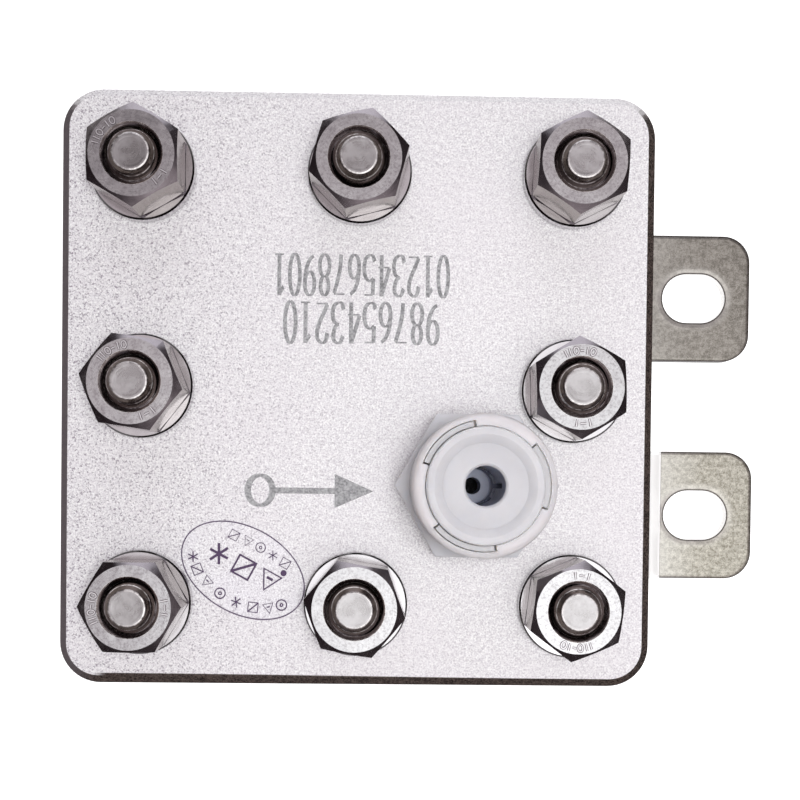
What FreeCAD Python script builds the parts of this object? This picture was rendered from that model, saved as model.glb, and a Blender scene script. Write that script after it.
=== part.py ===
# Electrolyser cell: one PEM water electrolysis cell clamped between two square end plates.
# Electricity on the two terminal tabs splits water into hydrogen and oxygen at the membrane.
#
# Frame: the origin is the centre of the bottom end plate's outer face. +Z runs up the stack to the
# hydrogen fitting, and +X points out along the two terminal tabs. Everything is in millimetres.
#
# Stack, from the bottom: end plate, insulator, anode terminal plate, anode gasket round the titanium
# felt, membrane, cathode gasket round the gas diffusion layer, cathode terminal plate, insulator,
# end plate. Eight bolts in insulating sleeves pull it together.
import FreeCAD
import Part

import math
import os

# ---------------------------------------------------------------- driving dimensions
# End plates
plate_side = 69.5
plate_thick = 10.0
plate_corner_r = 4.8
plate_bevel = 1.0
plate_inner_chamfer = 0.3

# Sheets of the core, all cut to one outline a little inside the end plates
core_inset = 1.25
core_corner_r = 3.5
insulator_thick = 1.0
terminal_thick = 1.5
anode_gasket_thick = 1.0
membrane_thick = 0.2
cathode_gasket_thick = 0.8
window_side = 37.0
window_corner_r = 2.0
window_gap = 0.2

# Flow field milled into each terminal plate
channel_count = 9
channel_width = 2.0
channel_depth = 0.6
channel_run = 33.0

# Terminal tabs
anode_tab_y = 13.8
cathode_tab_y = -14.6
tab_width = 16.4
tab_stand_out = 16.2
tab_corner_r = 3.5
slot_length = 8.25
slot_width = 6.4
slot_to_end = 7.35
joggle_from_core = 3.65
joggle_run = 1.8
joggle_drop = 1.5
joggle_bend_r = 0.6

# Bolts on a square of three by three with no middle one
bolt_pitch = 25.0
bolt_d = 6.0
bolt_head_flats = 10.0
bolt_head_height = 4.0
bolt_end_chamfer = 0.85
bolt_stand_out = 0.6
bolt_hole_gap = 0.3
sleeve_bore_gap = 0.15
sleeve_wall = 0.75
sleeve_outer_gap = 0.1

washer_d = 12.0
washer_thick = 1.6
washer_bore_gap = 0.2
washer_chamfer = 0.2

nut_flats = 10.0
nut_height = 5.2
nut_bore_gap = 0.02
nut_countersink = 0.45
hex_chamfer_angle = 30.0

# How far each nut had turned when it came tight, in degrees, by its place in the pattern
nut_turns = {
    (-1, 1): 30, (0, 1): 15, (1, 1): 27,
    (-1, 0): 52, (1, 0): 32,
    (-1, -1): 0, (0, -1): 50, (1, -1): 23,
}

# Ports: G 1/8 threads, left plain at the tapping diameter
port_x = 13.6
port_y = 11.1
port_thread_r = 4.285
port_thread_depth = 8.0
port_mouth_chamfer = 0.5
port_channel_r = 1.75
port_seal_bore_r = 2.9
port_seal_width = 1.3
port_seal_gap = 0.2
port_seal_flattening = 0.3

# Push-in fitting for a 4 mm tube, heights counted from the top plate's face
tube_bore_r = 2.1
seal_washer_r = 6.6
seal_washer_thick = 1.0
stub_gap = 0.085
stub_length = 5.5
stub_chamfer = 0.6
passage_r = 1.0
tube_stop_depth = 1.0
hex_flats = 16.0
hex_height = 5.3
barrel_r = 7.6
barrel_wall = 1.45
barrel_height = 3.2
seat_height = 4.6
seal_pocket_r = 4.0
seal_pocket_depth = 3.4

seal_ring_thick = 2.0
seal_ring_gap = 0.05
seal_ring_squeeze = 0.15
seal_ring_lead_in = 0.5

grip_thick = 0.3
grip_bend_inset = 0.1
grip_tip_drop = 0.9
grip_bite = 0.1
grip_teeth = 8
grip_slot_width = 0.5

cap_height = 5.5
cap_edge_r = 1.0
cap_rim_width = 1.35
cap_fit_gap = 0.05
cap_relief_r = 4.25
cap_guide_length = 3.2

lug_count = 3
lug_first_angle = 10.0
lug_span = 58.0
lug_thick = 0.55
lug_end_gap = 2.0
lug_gap = 0.1
lug_drop = 0.4
lug_root = 0.5

collet_travel = 1.0
collet_stop_gap = 0.15
collet_gap = 0.08
collet_wall = 1.25
collet_flange_gap = 0.1
collet_flange_thick = 1.4
collet_stand_out = 0.6
collet_rim_width = 0.8
collet_dish_slope = 0.9
collet_dish_depth = 0.4
collet_rim_round = 0.3
collet_barb = 0.55
collet_barb_height = 0.8
collet_nose_r = 2.8
collet_barb_gap = 0.1
collet_mouth_chamfer = 0.25
collet_slots = 4
collet_slot_width = 0.6
collet_slot_length = 6.0

# Clear oval film on the top plate, placed from the bolt nearest to it
sticker_long_r = 7.8
sticker_short_r = 5.15
sticker_thick = 0.1
sticker_from_bolt_x = 11.8
sticker_from_bolt_y = 3.7
sticker_turn = -28.4

# ---------------------------------------------------------------- levels, worked out upwards
z_bottom_insulator = plate_thick
z_anode = z_bottom_insulator + insulator_thick
z_anode_gasket = z_anode + terminal_thick
z_membrane = z_anode_gasket + anode_gasket_thick
z_cathode_gasket = z_membrane + membrane_thick
z_cathode = z_cathode_gasket + cathode_gasket_thick
z_top_insulator = z_cathode + terminal_thick
z_top_plate = z_top_insulator + insulator_thick
z_top = z_top_plate + plate_thick

core_side = plate_side - 2 * core_inset
tab_reach = plate_side / 2 + tab_stand_out
joggle_start = core_side / 2 + joggle_from_core
core_hole_r = bolt_d / 2 + sleeve_bore_gap + sleeve_wall + sleeve_outer_gap
plate_hole_r = bolt_d / 2 + bolt_hole_gap
hydrogen_port = (port_x, -port_y)
water_port = (-port_x, -port_y)
oxygen_port = (port_x, port_y)
bolt_places = sorted(nut_turns)

UP = FreeCAD.Vector(0, 0, 1)
CENTRE = FreeCAD.Vector(0, 0, 0)


# ---------------------------------------------------------------- shape helpers
def cylinder(radius, z_low, z_high, place=(0, 0)):
    return Part.makeCylinder(radius, z_high - z_low, FreeCAD.Vector(place[0], place[1], z_low))


def block(x_low, x_high, y_low, y_high, z_low, z_high):
    corner = FreeCAD.Vector(x_low, y_low, z_low)
    return Part.makeBox(x_high - x_low, y_high - y_low, z_high - z_low, corner)


def moved(shape, x=0, y=0, z=0, turn=0):
    """A copy of the shape, turned about Z by so many degrees and then moved."""
    copy = shape.copy()
    copy.rotate(CENTRE, UP, turn)
    copy.translate(FreeCAD.Vector(x, y, z))
    return copy


def upright_edges(shape, x_from=-math.inf):
    """The straight vertical edges that lie beyond x_from."""
    found = []
    for edge in shape.Edges:
        box = edge.BoundBox
        if box.ZLength > 1e-3 and box.XLength < 1e-6 and box.YLength < 1e-6 and box.XMin > x_from:
            found.append(edge)
    return found


def edges_at(shape, z):
    """The edges that lie flat at the height z."""
    return [e for e in shape.Edges if abs(e.BoundBox.ZMin - z) < 1e-6 and e.BoundBox.ZLength < 1e-6]


def square_sheet(side, corner_r, z_low, thick):
    """A flat square with rounded corners, centred on the axis."""
    sheet = block(-side / 2, side / 2, -side / 2, side / 2, z_low, z_low + thick)
    return sheet.makeFillet(corner_r, upright_edges(sheet))


def slot(length, width, z_low, z_high, place=(0, 0), turn=0):
    """A solid in the shape of a slot with round ends, its length along X before it is turned."""
    half = (length - width) / 2
    body = block(-half, half, -width / 2, width / 2, z_low, z_high)
    ends = [cylinder(width / 2, z_low, z_high, (side * half, 0)) for side in (-1, 1)]
    return moved(body.multiFuse(ends).removeSplitter(), place[0], place[1], 0, turn)


def turned(points):
    """A turned piece: the outline in radius and height, swept once round the Z axis."""
    corners = [FreeCAD.Vector(r, 0, z) for r, z in points]
    outline = Part.makePolygon(corners + corners[:1])
    return Part.Face(outline).revolve(CENTRE, UP, 360)


def ring(r_in, r_out, z_low, z_high):
    return turned([(r_in, z_low), (r_out, z_low), (r_out, z_high), (r_in, z_high)])


def arc_block(r_in, r_out, z_low, z_high, middle, span):
    """A curved block between two radii, span degrees wide about the middle angle."""
    corners = [(r_in, z_low), (r_out, z_low), (r_out, z_high), (r_in, z_high)]
    outline = Part.makePolygon([FreeCAD.Vector(r, 0, z) for r, z in corners + corners[:1]])
    return moved(Part.Face(outline).revolve(CENTRE, UP, span), turn=middle - span / 2)


def hexagon(flats, z_low, z_high, chamfered_low=False, chamfered_high=False):
    """A hexagon bar with the corners of one or both ends turned off to the chamfer angle."""
    corner_r = flats / math.sqrt(3)
    corners = [
        FreeCAD.Vector(corner_r * math.cos(math.radians(a)), corner_r * math.sin(math.radians(a)), z_low)
        for a in range(0, 361, 60)
    ]
    bar = Part.Face(Part.makePolygon(corners)).extrude(FreeCAD.Vector(0, 0, z_high - z_low))
    flat_r = flats / 2 * 0.95
    drop = (corner_r + 1 - flat_r) * math.tan(math.radians(hex_chamfer_angle))
    low_r, low_z = (flat_r, drop) if chamfered_low else (corner_r + 1, 0)
    high_r, high_z = (flat_r, drop) if chamfered_high else (corner_r + 1, 0)
    envelope = turned([
        (0, z_low), (low_r, z_low), (corner_r + 1, z_low + low_z),
        (corner_r + 1, z_high - high_z), (high_r, z_high), (0, z_high),
    ])
    return bar.common(envelope)


def at_bolts(piece):
    """Eight copies of a piece, one on each bolt's axis."""
    return [moved(piece, i * bolt_pitch, j * bolt_pitch) for i, j in bolt_places]


# ---------------------------------------------------------------- end plates
def end_plate(z_low, outer_is_high):
    outer_z = z_low + plate_thick if outer_is_high else z_low
    inner_z = z_low if outer_is_high else z_low + plate_thick
    plate = square_sheet(plate_side, plate_corner_r, z_low, plate_thick)
    plate = plate.makeChamfer(plate_bevel, edges_at(plate, outer_z))
    plate = plate.makeChamfer(plate_inner_chamfer, edges_at(plate, inner_z))
    return plate.cut(at_bolts(cylinder(plate_hole_r, z_low, z_low + plate_thick)))


def port_cut(z_face, inward, place):
    """What a port takes out of an end plate: mouth chamfer, thread and channel to the inner face."""
    mouth_r = port_thread_r + port_mouth_chamfer
    profile = [
        (0, 0), (mouth_r, 0), (port_thread_r, port_mouth_chamfer), (port_thread_r, port_thread_depth),
        (port_channel_r, port_thread_depth), (port_channel_r, plate_thick), (0, plate_thick),
    ]
    cutter = turned([(r, inward * depth) for r, depth in profile])
    return moved(cutter, place[0], place[1], z_face)


def top_end_plate():
    return end_plate(z_top_plate, True).cut(port_cut(z_top, -1, hydrogen_port))


def bottom_end_plate():
    cuts = [port_cut(0, 1, place) for place in (water_port, oxygen_port)]
    return end_plate(0, False).cut(cuts)


# ---------------------------------------------------------------- core sheets
def core_sheet(z_low, thick):
    sheet = square_sheet(core_side, core_corner_r, z_low, thick)
    return sheet.cut(at_bolts(cylinder(core_hole_r, z_low, z_low + thick)))


def insulator(z_low, ports):
    hole_r = port_seal_bore_r + port_seal_width + port_seal_gap
    holes = [cylinder(hole_r, z_low, z_low + insulator_thick, place) for place in ports]
    return core_sheet(z_low, insulator_thick).cut(holes)


def port_seal(z_low, place):
    """An O-ring squeezed flat between an end plate and a terminal plate."""
    z_high = z_low + insulator_thick
    seal = ring(port_seal_bore_r, port_seal_bore_r + port_seal_width, z_low, z_high)
    seal = seal.makeChamfer(port_seal_flattening, edges_at(seal, z_low) + edges_at(seal, z_high))
    return moved(seal, place[0], place[1])


def gasket(z_low, thick):
    window = square_sheet(window_side, window_corner_r, z_low, thick)
    return core_sheet(z_low, thick).cut(window)


def window_fill(z_low, thick):
    """The porous sheet that fills a gasket's window."""
    return square_sheet(window_side - 2 * window_gap, window_corner_r, z_low, thick)


# ---------------------------------------------------------------- terminal plates
def flow_field(z_low, z_high):
    """One serpentine channel: level runs joined at alternate ends. A port opens into it."""
    runs_each_side = (channel_count - 1) // 2
    pitch = port_y / (runs_each_side - 1)
    x_turn = (channel_run - channel_width) / 2
    pieces = []
    for i in range(channel_count):
        y = (i - runs_each_side) * pitch
        pieces.append(slot(channel_run, channel_width, z_low, z_high, (0, y)))
        if i < channel_count - 1:
            side = 1 if i % 2 else -1
            middle = (side * x_turn, y + pitch / 2)
            pieces.append(slot(pitch + channel_width, channel_width, z_low, z_high, middle, 90))
    return pieces[0].multiFuse(pieces[1:]).removeSplitter()


def terminal_plate(z_low, ports, channels_up, tab):
    z_high = z_low + terminal_thick
    sheet = core_sheet(z_low, terminal_thick).fuse(tab).removeSplitter()
    if channels_up:
        channels = flow_field(z_high - channel_depth, z_high)
    else:
        channels = flow_field(z_low, z_low + channel_depth)
    holes = [cylinder(port_channel_r, z_low, z_high, place) for place in ports]
    return sheet.cut([channels] + holes)


def finished_tab(strip, y_middle, z_low):
    """Rounds a tab's outer corners and cuts its slot."""
    rounded = strip.makeFillet(tab_corner_r, upright_edges(strip, tab_reach - 0.01))
    middle = (tab_reach - slot_to_end, y_middle)
    return rounded.cut(slot(slot_length, slot_width, z_low, z_low + terminal_thick, middle))


def straight_tab(y_middle, z_low):
    y_low = y_middle - tab_width / 2
    strip = block(core_side / 2 - 1, tab_reach, y_low, y_low + tab_width, z_low, z_low + terminal_thick)
    return finished_tab(strip, y_middle, z_low)


def bend_lines(strip, places):
    """The edges across a strip that pass through the given places in its side view."""
    found = []
    for edge in strip.Edges:
        middle = edge.CenterOfMass
        across = edge.BoundBox.YLength > tab_width / 2
        if across and any(math.dist((middle.x, middle.z), place) < 1e-3 for place in places):
            found.append(edge)
    return found


def joggled_tab(y_middle, z_low, z_tab):
    """A tab that is bent down and level again, so that it ends at the height z_tab."""
    ramp_angle = math.atan2(z_low - z_tab, joggle_run)
    bend = terminal_thick * math.tan(ramp_angle / 2)
    x_root = core_side / 2 - 1
    joggle_end = joggle_start + joggle_run
    z_high = z_low + terminal_thick
    z_tab_high = z_tab + terminal_thick
    side_view = [
        (x_root, z_high), (joggle_start, z_high), (joggle_end, z_tab_high), (tab_reach, z_tab_high),
        (tab_reach, z_tab), (joggle_end - bend, z_tab), (joggle_start - bend, z_low), (x_root, z_low),
    ]
    corners = [FreeCAD.Vector(x, y_middle - tab_width / 2, z) for x, z in side_view]
    outline = Part.Face(Part.makePolygon(corners + corners[:1]))
    strip = outline.extrude(FreeCAD.Vector(0, tab_width, 0))
    inner = bend_lines(strip, [(joggle_start - bend, z_low), (joggle_end, z_tab_high)])
    strip = strip.makeFillet(joggle_bend_r, inner)
    outer = bend_lines(strip, [(joggle_start, z_high), (joggle_end - bend, z_tab)])
    strip = strip.makeFillet(joggle_bend_r + terminal_thick, outer)
    return finished_tab(strip, y_middle, z_tab)


def anode_terminal_plate():
    tab = straight_tab(anode_tab_y, z_anode)
    return terminal_plate(z_anode, [water_port, oxygen_port], True, tab)


def cathode_terminal_plate():
    tab = joggled_tab(cathode_tab_y, z_cathode, z_cathode - joggle_drop)
    return terminal_plate(z_cathode, [hydrogen_port], False, tab)


# ---------------------------------------------------------------- bolts, nuts and washers
def tie_bolt():
    z_head = -washer_thick - bolt_head_height
    z_end = z_top + washer_thick + nut_height + bolt_stand_out
    head = hexagon(bolt_head_flats, z_head, -washer_thick, chamfered_low=True)
    shank = cylinder(bolt_d / 2, -washer_thick, z_end)
    shank = shank.makeChamfer(bolt_end_chamfer, edges_at(shank, z_end))
    return head.fuse(shank)


def washer(z_low):
    disc = ring(bolt_d / 2 + washer_bore_gap, washer_d / 2, z_low, z_low + washer_thick)
    outer = [e for e in disc.Edges if e.BoundBox.XMax > washer_d / 2 - 1e-3 and e.BoundBox.ZLength < 1e-6]
    return disc.makeChamfer(washer_chamfer, outer)


def hex_nut():
    z_low = z_top + washer_thick
    z_high = z_low + nut_height
    bore_r = bolt_d / 2 + nut_bore_gap
    bar = hexagon(nut_flats, z_low, z_high, True, True)
    bore = turned([
        (0, z_low), (bore_r + nut_countersink, z_low), (bore_r, z_low + nut_countersink),
        (bore_r, z_high - nut_countersink), (bore_r + nut_countersink, z_high), (0, z_high),
    ])
    return bar.cut(bore)


def hex_nuts():
    nut = hex_nut()
    return [moved(nut, i * bolt_pitch, j * bolt_pitch, 0, nut_turns[i, j]) for i, j in bolt_places]


def bolt_sleeve():
    bore_r = bolt_d / 2 + sleeve_bore_gap
    return ring(bore_r, bore_r + sleeve_wall, z_bottom_insulator, z_top_plate)


# ---------------------------------------------------------------- push-in fitting
# Built round its own axis with z = 0 on the top plate's face, and moved into place at the end.
z_hex = seal_washer_thick
z_barrel = z_hex + hex_height
z_cap = z_barrel + barrel_height
z_cap_top = z_cap + cap_height
z_collet_face = z_cap_top + collet_stand_out
z_flange = z_collet_face - collet_flange_thick
z_shelf = z_flange - collet_travel - collet_stop_gap
z_guide_low = z_shelf - cap_guide_length
z_grip_top = seat_height + grip_thick
z_tooth_tip = seat_height - grip_tip_drop
barrel_bore_r = barrel_r - barrel_wall
cap_opening_r = barrel_r - cap_rim_width
guide_r = tube_bore_r + collet_wall + collet_gap
grip_bend_r = seal_pocket_r - grip_bend_inset
grip_tip_r = tube_bore_r - grip_bite


def fitting_seal_washer():
    return ring(port_thread_r, seal_washer_r, 0, seal_washer_thick)


def snap_lugs():
    """The hooks that stand up from the barrel into the end cap's windows."""
    low, high = z_cap - lug_root, z_cap_top - lug_drop
    r_out = cap_opening_r + lug_thick
    step = 360 / lug_count
    return [
        arc_block(cap_opening_r, r_out, low, high, lug_first_angle + i * step, lug_span)
        for i in range(lug_count)
    ]


def fitting_body():
    stub_r = port_thread_r - stub_gap
    pocket_floor = seat_height - seal_pocket_depth
    neck_r = barrel_r - barrel_wall / 2
    barrel = turned([
        (passage_r, -stub_length), (stub_r - stub_chamfer, -stub_length),
        (stub_r, -stub_length + stub_chamfer), (stub_r, z_hex),
        (neck_r, z_hex), (neck_r, z_barrel), (barrel_r, z_barrel), (barrel_r, z_cap), (barrel_bore_r, z_cap),
        (barrel_bore_r, seat_height), (seal_pocket_r, seat_height), (seal_pocket_r, pocket_floor),
        (tube_bore_r, pocket_floor), (tube_bore_r, -tube_stop_depth), (passage_r, -tube_stop_depth),
    ])
    hollow = cylinder(neck_r - barrel_wall / 2, z_hex, z_barrel)
    wrench = hexagon(hex_flats, z_hex, z_barrel, True, True).cut(hollow)
    return barrel.multiFuse([wrench] + snap_lugs()).removeSplitter()


def tube_seal_ring():
    z_low = seat_height - seal_pocket_depth
    r_in = tube_bore_r - seal_ring_squeeze
    seal = ring(r_in, seal_pocket_r - seal_ring_gap, z_low, z_low + seal_ring_thick)
    inner = [e for e in seal.Edges if e.BoundBox.XMax < r_in + 1e-3 and e.BoundBox.ZLength < 1e-6]
    return seal.makeChamfer(seal_ring_lead_in, inner)


def grip_ring():
    """A spring steel ring whose teeth point down and in, towards the tube."""
    rim_out = barrel_bore_r - cap_fit_gap
    sheet = turned([
        (grip_bend_r, seat_height), (rim_out, seat_height), (rim_out, z_grip_top), (grip_bend_r, z_grip_top),
        (grip_tip_r, z_tooth_tip + grip_thick), (grip_tip_r, z_tooth_tip),
    ])
    half = grip_slot_width / 2
    cut = block(0, grip_bend_r - half, -half, half, z_tooth_tip, z_grip_top)
    return sheet.cut([moved(cut, turn=i * 360 / grip_teeth) for i in range(grip_teeth)])


def fitting_end_cap():
    sleeve_r = barrel_bore_r - cap_fit_gap
    ring_piece = turned([
        (guide_r, z_shelf), (guide_r, z_guide_low), (cap_relief_r, z_guide_low), (cap_relief_r, z_grip_top),
        (sleeve_r, z_grip_top), (sleeve_r, z_cap), (barrel_r, z_cap), (barrel_r, z_cap_top),
        (cap_opening_r, z_cap_top), (cap_opening_r, z_shelf),
    ])
    rim = [e for e in edges_at(ring_piece, z_cap_top) if e.BoundBox.XMax > barrel_r - 1e-3]
    rounded = ring_piece.makeFillet(cap_edge_r, rim)
    r_out = cap_opening_r + lug_thick + lug_gap
    step = 360 / lug_count
    windows = [
        arc_block(cap_opening_r - lug_gap, r_out, z_cap, z_cap_top, lug_first_angle + i * step,
                  lug_span + 2 * lug_end_gap)
        for i in range(lug_count)
    ]
    return rounded.cut(windows)


def release_collet():
    """The button round the tube: pressing its flange spreads the teeth and frees the tube."""
    stem_r = tube_bore_r + collet_wall
    flange_r = cap_opening_r - collet_flange_gap
    z_floor = z_collet_face - collet_dish_depth
    z_barb = z_guide_low - collet_barb_gap
    tooth_slope = grip_tip_drop / (grip_bend_r - grip_tip_r)
    z_tooth = z_tooth_tip + grip_thick + (collet_nose_r - grip_tip_r) * tooth_slope
    z_nose = z_tooth + collet_travel + collet_stop_gap
    rim_r = flange_r - collet_rim_width
    mouth_r = tube_bore_r + collet_mouth_chamfer
    sleeve = turned([
        (tube_bore_r, z_nose), (collet_nose_r, z_nose), (stem_r + collet_barb, z_barb - collet_barb_height),
        (stem_r + collet_barb, z_barb), (stem_r, z_barb), (stem_r, z_flange), (flange_r, z_flange),
        (flange_r, z_collet_face), (rim_r, z_collet_face), (rim_r - collet_dish_slope, z_floor),
        (mouth_r, z_floor), (tube_bore_r, z_floor - collet_mouth_chamfer),
    ])
    rim = [e for e in edges_at(sleeve, z_collet_face) if e.BoundBox.XMax > flange_r - 1e-3]
    sleeve = sleeve.makeFillet(collet_rim_round, rim)
    half = collet_slot_width / 2
    cut = block(0, stem_r + 1, -half, half, z_nose, z_nose + collet_slot_length)
    return sleeve.cut([moved(cut, turn=i * 360 / collet_slots) for i in range(collet_slots)])


def on_port(piece):
    return moved(piece, hydrogen_port[0], hydrogen_port[1], z_top)


# ---------------------------------------------------------------- sticker
def inspection_sticker():
    outline = Part.Ellipse(CENTRE, sticker_long_r, sticker_short_r).toShape()
    film = Part.Face(Part.Wire(outline)).extrude(FreeCAD.Vector(0, 0, sticker_thick))
    x = -bolt_pitch + sticker_from_bolt_x
    y = -bolt_pitch + sticker_from_bolt_y
    return moved(film, x, y, z_top, sticker_turn)


# ---------------------------------------------------------------- all nodes
def build():
    return {
        "bottom_end_plate": bottom_end_plate(),
        "bottom_insulator": insulator(z_bottom_insulator, [water_port, oxygen_port]),
        "water_port_seal": port_seal(z_bottom_insulator, water_port),
        "oxygen_port_seal": port_seal(z_bottom_insulator, oxygen_port),
        "anode_terminal_plate": anode_terminal_plate(),
        "anode_gasket": gasket(z_anode_gasket, anode_gasket_thick),
        "titanium_felt": window_fill(z_anode_gasket, anode_gasket_thick),
        "membrane": core_sheet(z_membrane, membrane_thick),
        "cathode_gasket": gasket(z_cathode_gasket, cathode_gasket_thick),
        "gas_diffusion_layer": window_fill(z_cathode_gasket, cathode_gasket_thick),
        "cathode_terminal_plate": cathode_terminal_plate(),
        "hydrogen_port_seal": port_seal(z_top_insulator, hydrogen_port),
        "top_insulator": insulator(z_top_insulator, [hydrogen_port]),
        "top_end_plate": top_end_plate(),
        "bolt_sleeves": at_bolts(bolt_sleeve()),
        "tie_bolts": at_bolts(tie_bolt()),
        "bottom_washers": at_bolts(washer(-washer_thick)),
        "top_washers": at_bolts(washer(z_top)),
        "hex_nuts": hex_nuts(),
        "fitting_seal_washer": on_port(fitting_seal_washer()),
        "fitting_body": on_port(fitting_body()),
        "tube_seal_ring": on_port(tube_seal_ring()),
        "grip_ring": on_port(grip_ring()),
        "fitting_end_cap": on_port(fitting_end_cap()),
        "release_collet": on_port(release_collet()),
        "inspection_sticker": inspection_sticker(),
    }


os.makedirs("parts", exist_ok=True)
for name, shape in build().items():
    solids = shape if isinstance(shape, list) else [shape]
    whole = Part.makeCompound(solids) if len(solids) > 1 else solids[0]
    whole.exportStep(f"parts/{name}.step")
    state = "valid" if whole.isValid() else "INVALID"
    print(f"{name:24s} {len(whole.Solids):2d} solid  {whole.Volume:9.1f} mm3  {state}")
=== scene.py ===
# %% [markdown]
# An electrolyser cell: two blasted steel plates squeeze a thin stack between eight bolts, a white push-in
# fitting lets the hydrogen out at the top, and two metal tabs bring the current in. The shapes were drawn
# in a CAD program and arrive here finished. This lesson gives them their surfaces, adds the small marks
# and threads that CAD leaves out, and sets up the light and the camera.

# %% Load the frame
import math
import random

import bmesh
import bpy
from mathutils import Euler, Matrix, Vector


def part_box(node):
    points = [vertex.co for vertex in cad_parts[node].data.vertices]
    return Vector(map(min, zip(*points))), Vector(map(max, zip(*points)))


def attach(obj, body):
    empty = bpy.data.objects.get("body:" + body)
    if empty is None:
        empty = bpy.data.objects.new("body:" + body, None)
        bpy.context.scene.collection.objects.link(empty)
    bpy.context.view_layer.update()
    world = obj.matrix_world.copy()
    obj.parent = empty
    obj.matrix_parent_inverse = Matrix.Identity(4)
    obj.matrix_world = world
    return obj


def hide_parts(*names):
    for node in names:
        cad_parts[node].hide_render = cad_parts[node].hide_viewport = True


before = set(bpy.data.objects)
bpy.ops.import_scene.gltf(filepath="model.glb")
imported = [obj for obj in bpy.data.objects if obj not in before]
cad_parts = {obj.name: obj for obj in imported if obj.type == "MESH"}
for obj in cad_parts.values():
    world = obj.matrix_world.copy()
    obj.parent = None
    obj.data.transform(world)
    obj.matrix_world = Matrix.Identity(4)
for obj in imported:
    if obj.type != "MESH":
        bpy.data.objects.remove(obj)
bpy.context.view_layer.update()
MM = 0.001

# %% [markdown]
# Blender works in metres, and this object is about 70 mm wide. The places below are read from the CAD
# nodes themselves, so that every mark and thread sits where the metal is. Typing the numbers in would also
# work, but they would be wrong after the next change of size.

# %% Places read from the nodes
plate_low, plate_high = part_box("top_end_plate")
bolts_low, bolts_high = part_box("tie_bolts")
nuts_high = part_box("hex_nuts")[1]
sticker_low, sticker_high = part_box("inspection_sticker")
seals = [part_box(name) for name in ("water_port_seal", "oxygen_port_seal")]
PORTS = [((low.x + high.x) / 2 / MM, (low.y + high.y) / 2 / MM) for low, high in seals]
cap_low, cap_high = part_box("fitting_end_cap")
COLLET_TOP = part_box("release_collet")[1].z / MM
PITCH = 0.025
BOLTS = [(i * PITCH, j * PITCH) for i in (-1, 0, 1) for j in (-1, 0, 1) if (i, j) != (0, 0)]
PLATE_TOP = plate_high.z
ABOVE_CORE = (plate_low.z / MM - 2.0, plate_low.z / MM + 1.0)
FLOOR = bolts_low.z
FITTING = ((cap_low.x + cap_high.x) / 2, (cap_low.y + cap_high.y) / 2)
print("plate top at %.1f mm, floor at %.1f mm" % (PLATE_TOP / MM, FLOOR / MM))
print("fitting axis at %.1f, %.1f mm" % (FITTING[0] / MM, FITTING[1] / MM))

# %% [markdown]
# A material is a tree of nodes. Writing each node out takes five lines, so a few short helpers do it in
# one: the first makes a node and fills its sockets, and the others use it for sums. Colours are written as
# the 0 to 255 values of a paint program and turned into the linear values that Blender wants.


# %% Helpers for nodes and sums
def paint(red, green, blue):
    """A colour from 0 to 255 per channel, as the linear colour that shaders use."""
    shares = [channel / 255 for channel in (red, green, blue)]
    linear = [c / 12.92 if c <= 0.04045 else ((c + 0.055) / 1.055) ** 2.4 for c in shares]
    return (*linear, 1.0)


def add(tree, kind, sockets=None, **settings):
    """One new node. A socket's value is a number, a colour or another node's output."""
    made = tree.nodes.new("ShaderNode" + kind)
    for name, value in settings.items():
        setattr(made, name, value)
    for name, value in (sockets or {}).items():
        if isinstance(value, bpy.types.NodeSocket):
            tree.links.new(value, made.inputs[name])
        else:
            made.inputs[name].default_value = value
    return made


def sums(tree, operation, *values):
    """A Math node's result."""
    return add(tree, "Math", dict(enumerate(values)), operation=operation).outputs[0]


def times(tree, first, *others):
    """The product of masks or numbers."""
    for other in others:
        first = sums(tree, "MULTIPLY", first, other)
    return first


def greatest(tree, first, *others):
    """The greatest of several masks or numbers."""
    for other in others:
        first = sums(tree, "MAXIMUM", first, other)
    return first


def vectors(tree, operation, *values):
    """A Vector Math node's result."""
    made = add(tree, "VectorMath", dict(enumerate(values)), operation=operation)
    return made.outputs["Value" if operation in ("LENGTH", "DOT_PRODUCT") else "Vector"]


print("paint(255, 128, 0) is", [round(c, 3) for c in paint(255, 128, 0)])

# %% [markdown]
# A mask is a number from 0 to 1 that tells one place on a surface from another, and colours are blended by
# it. A Color Ramp could make one too, but its stops are fixed numbers, while the start and end of a Map
# Range can come from other nodes. Noise makes masks that look natural, and a face's normal gives masks
# that know which way the face points.


# %% Helpers for masks and colours
def fade(tree, value, start, end, low=0.0, high=1.0, smooth=True):
    """low before start, high after end, and an even change between them."""
    kind = "SMOOTHSTEP" if smooth else "LINEAR"
    sockets = {"Value": value, "From Min": start, "From Max": end, "To Min": low, "To Max": high}
    return add(tree, "MapRange", sockets, interpolation_type=kind).outputs["Result"]


def between(tree, value, low, high, soft):
    """1 from low to high and 0 outside, over a soft edge on each side."""
    above = fade(tree, value, low - soft, low + soft)
    return times(tree, above, fade(tree, value, high - soft, high + soft, 1.0, 0.0))


def tint(tree, share, first, second):
    """first where share is 0, second where it is 1."""
    return add(tree, "Mix", {0: share, 6: first, 7: second}, data_type="RGBA").outputs[2]


def noise(tree, place, scale, detail=2.0, roughness=0.5):
    """Cloudy noise from 0 to 1. A scale of 4 has about four blotches in a millimetre."""
    sockets = {"Vector": place, "Scale": scale, "Detail": detail, "Roughness": roughness}
    return add(tree, "TexNoise", sockets).outputs["Fac"]


def turned_about_z(tree, vector, angle):
    """A vector turned about the Z axis, by an angle in radians."""
    return add(tree, "VectorRotate", {"Vector": vector, "Angle": angle}, rotation_type="Z_AXIS").outputs[0]


def components(tree, vector):
    """The X, Y and Z of a vector."""
    return add(tree, "SeparateXYZ", {0: vector}).outputs


def face_normal(tree):
    """The X, Y and Z of the way a face points."""
    return components(tree, add(tree, "NewGeometry").outputs["True Normal"])


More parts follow.
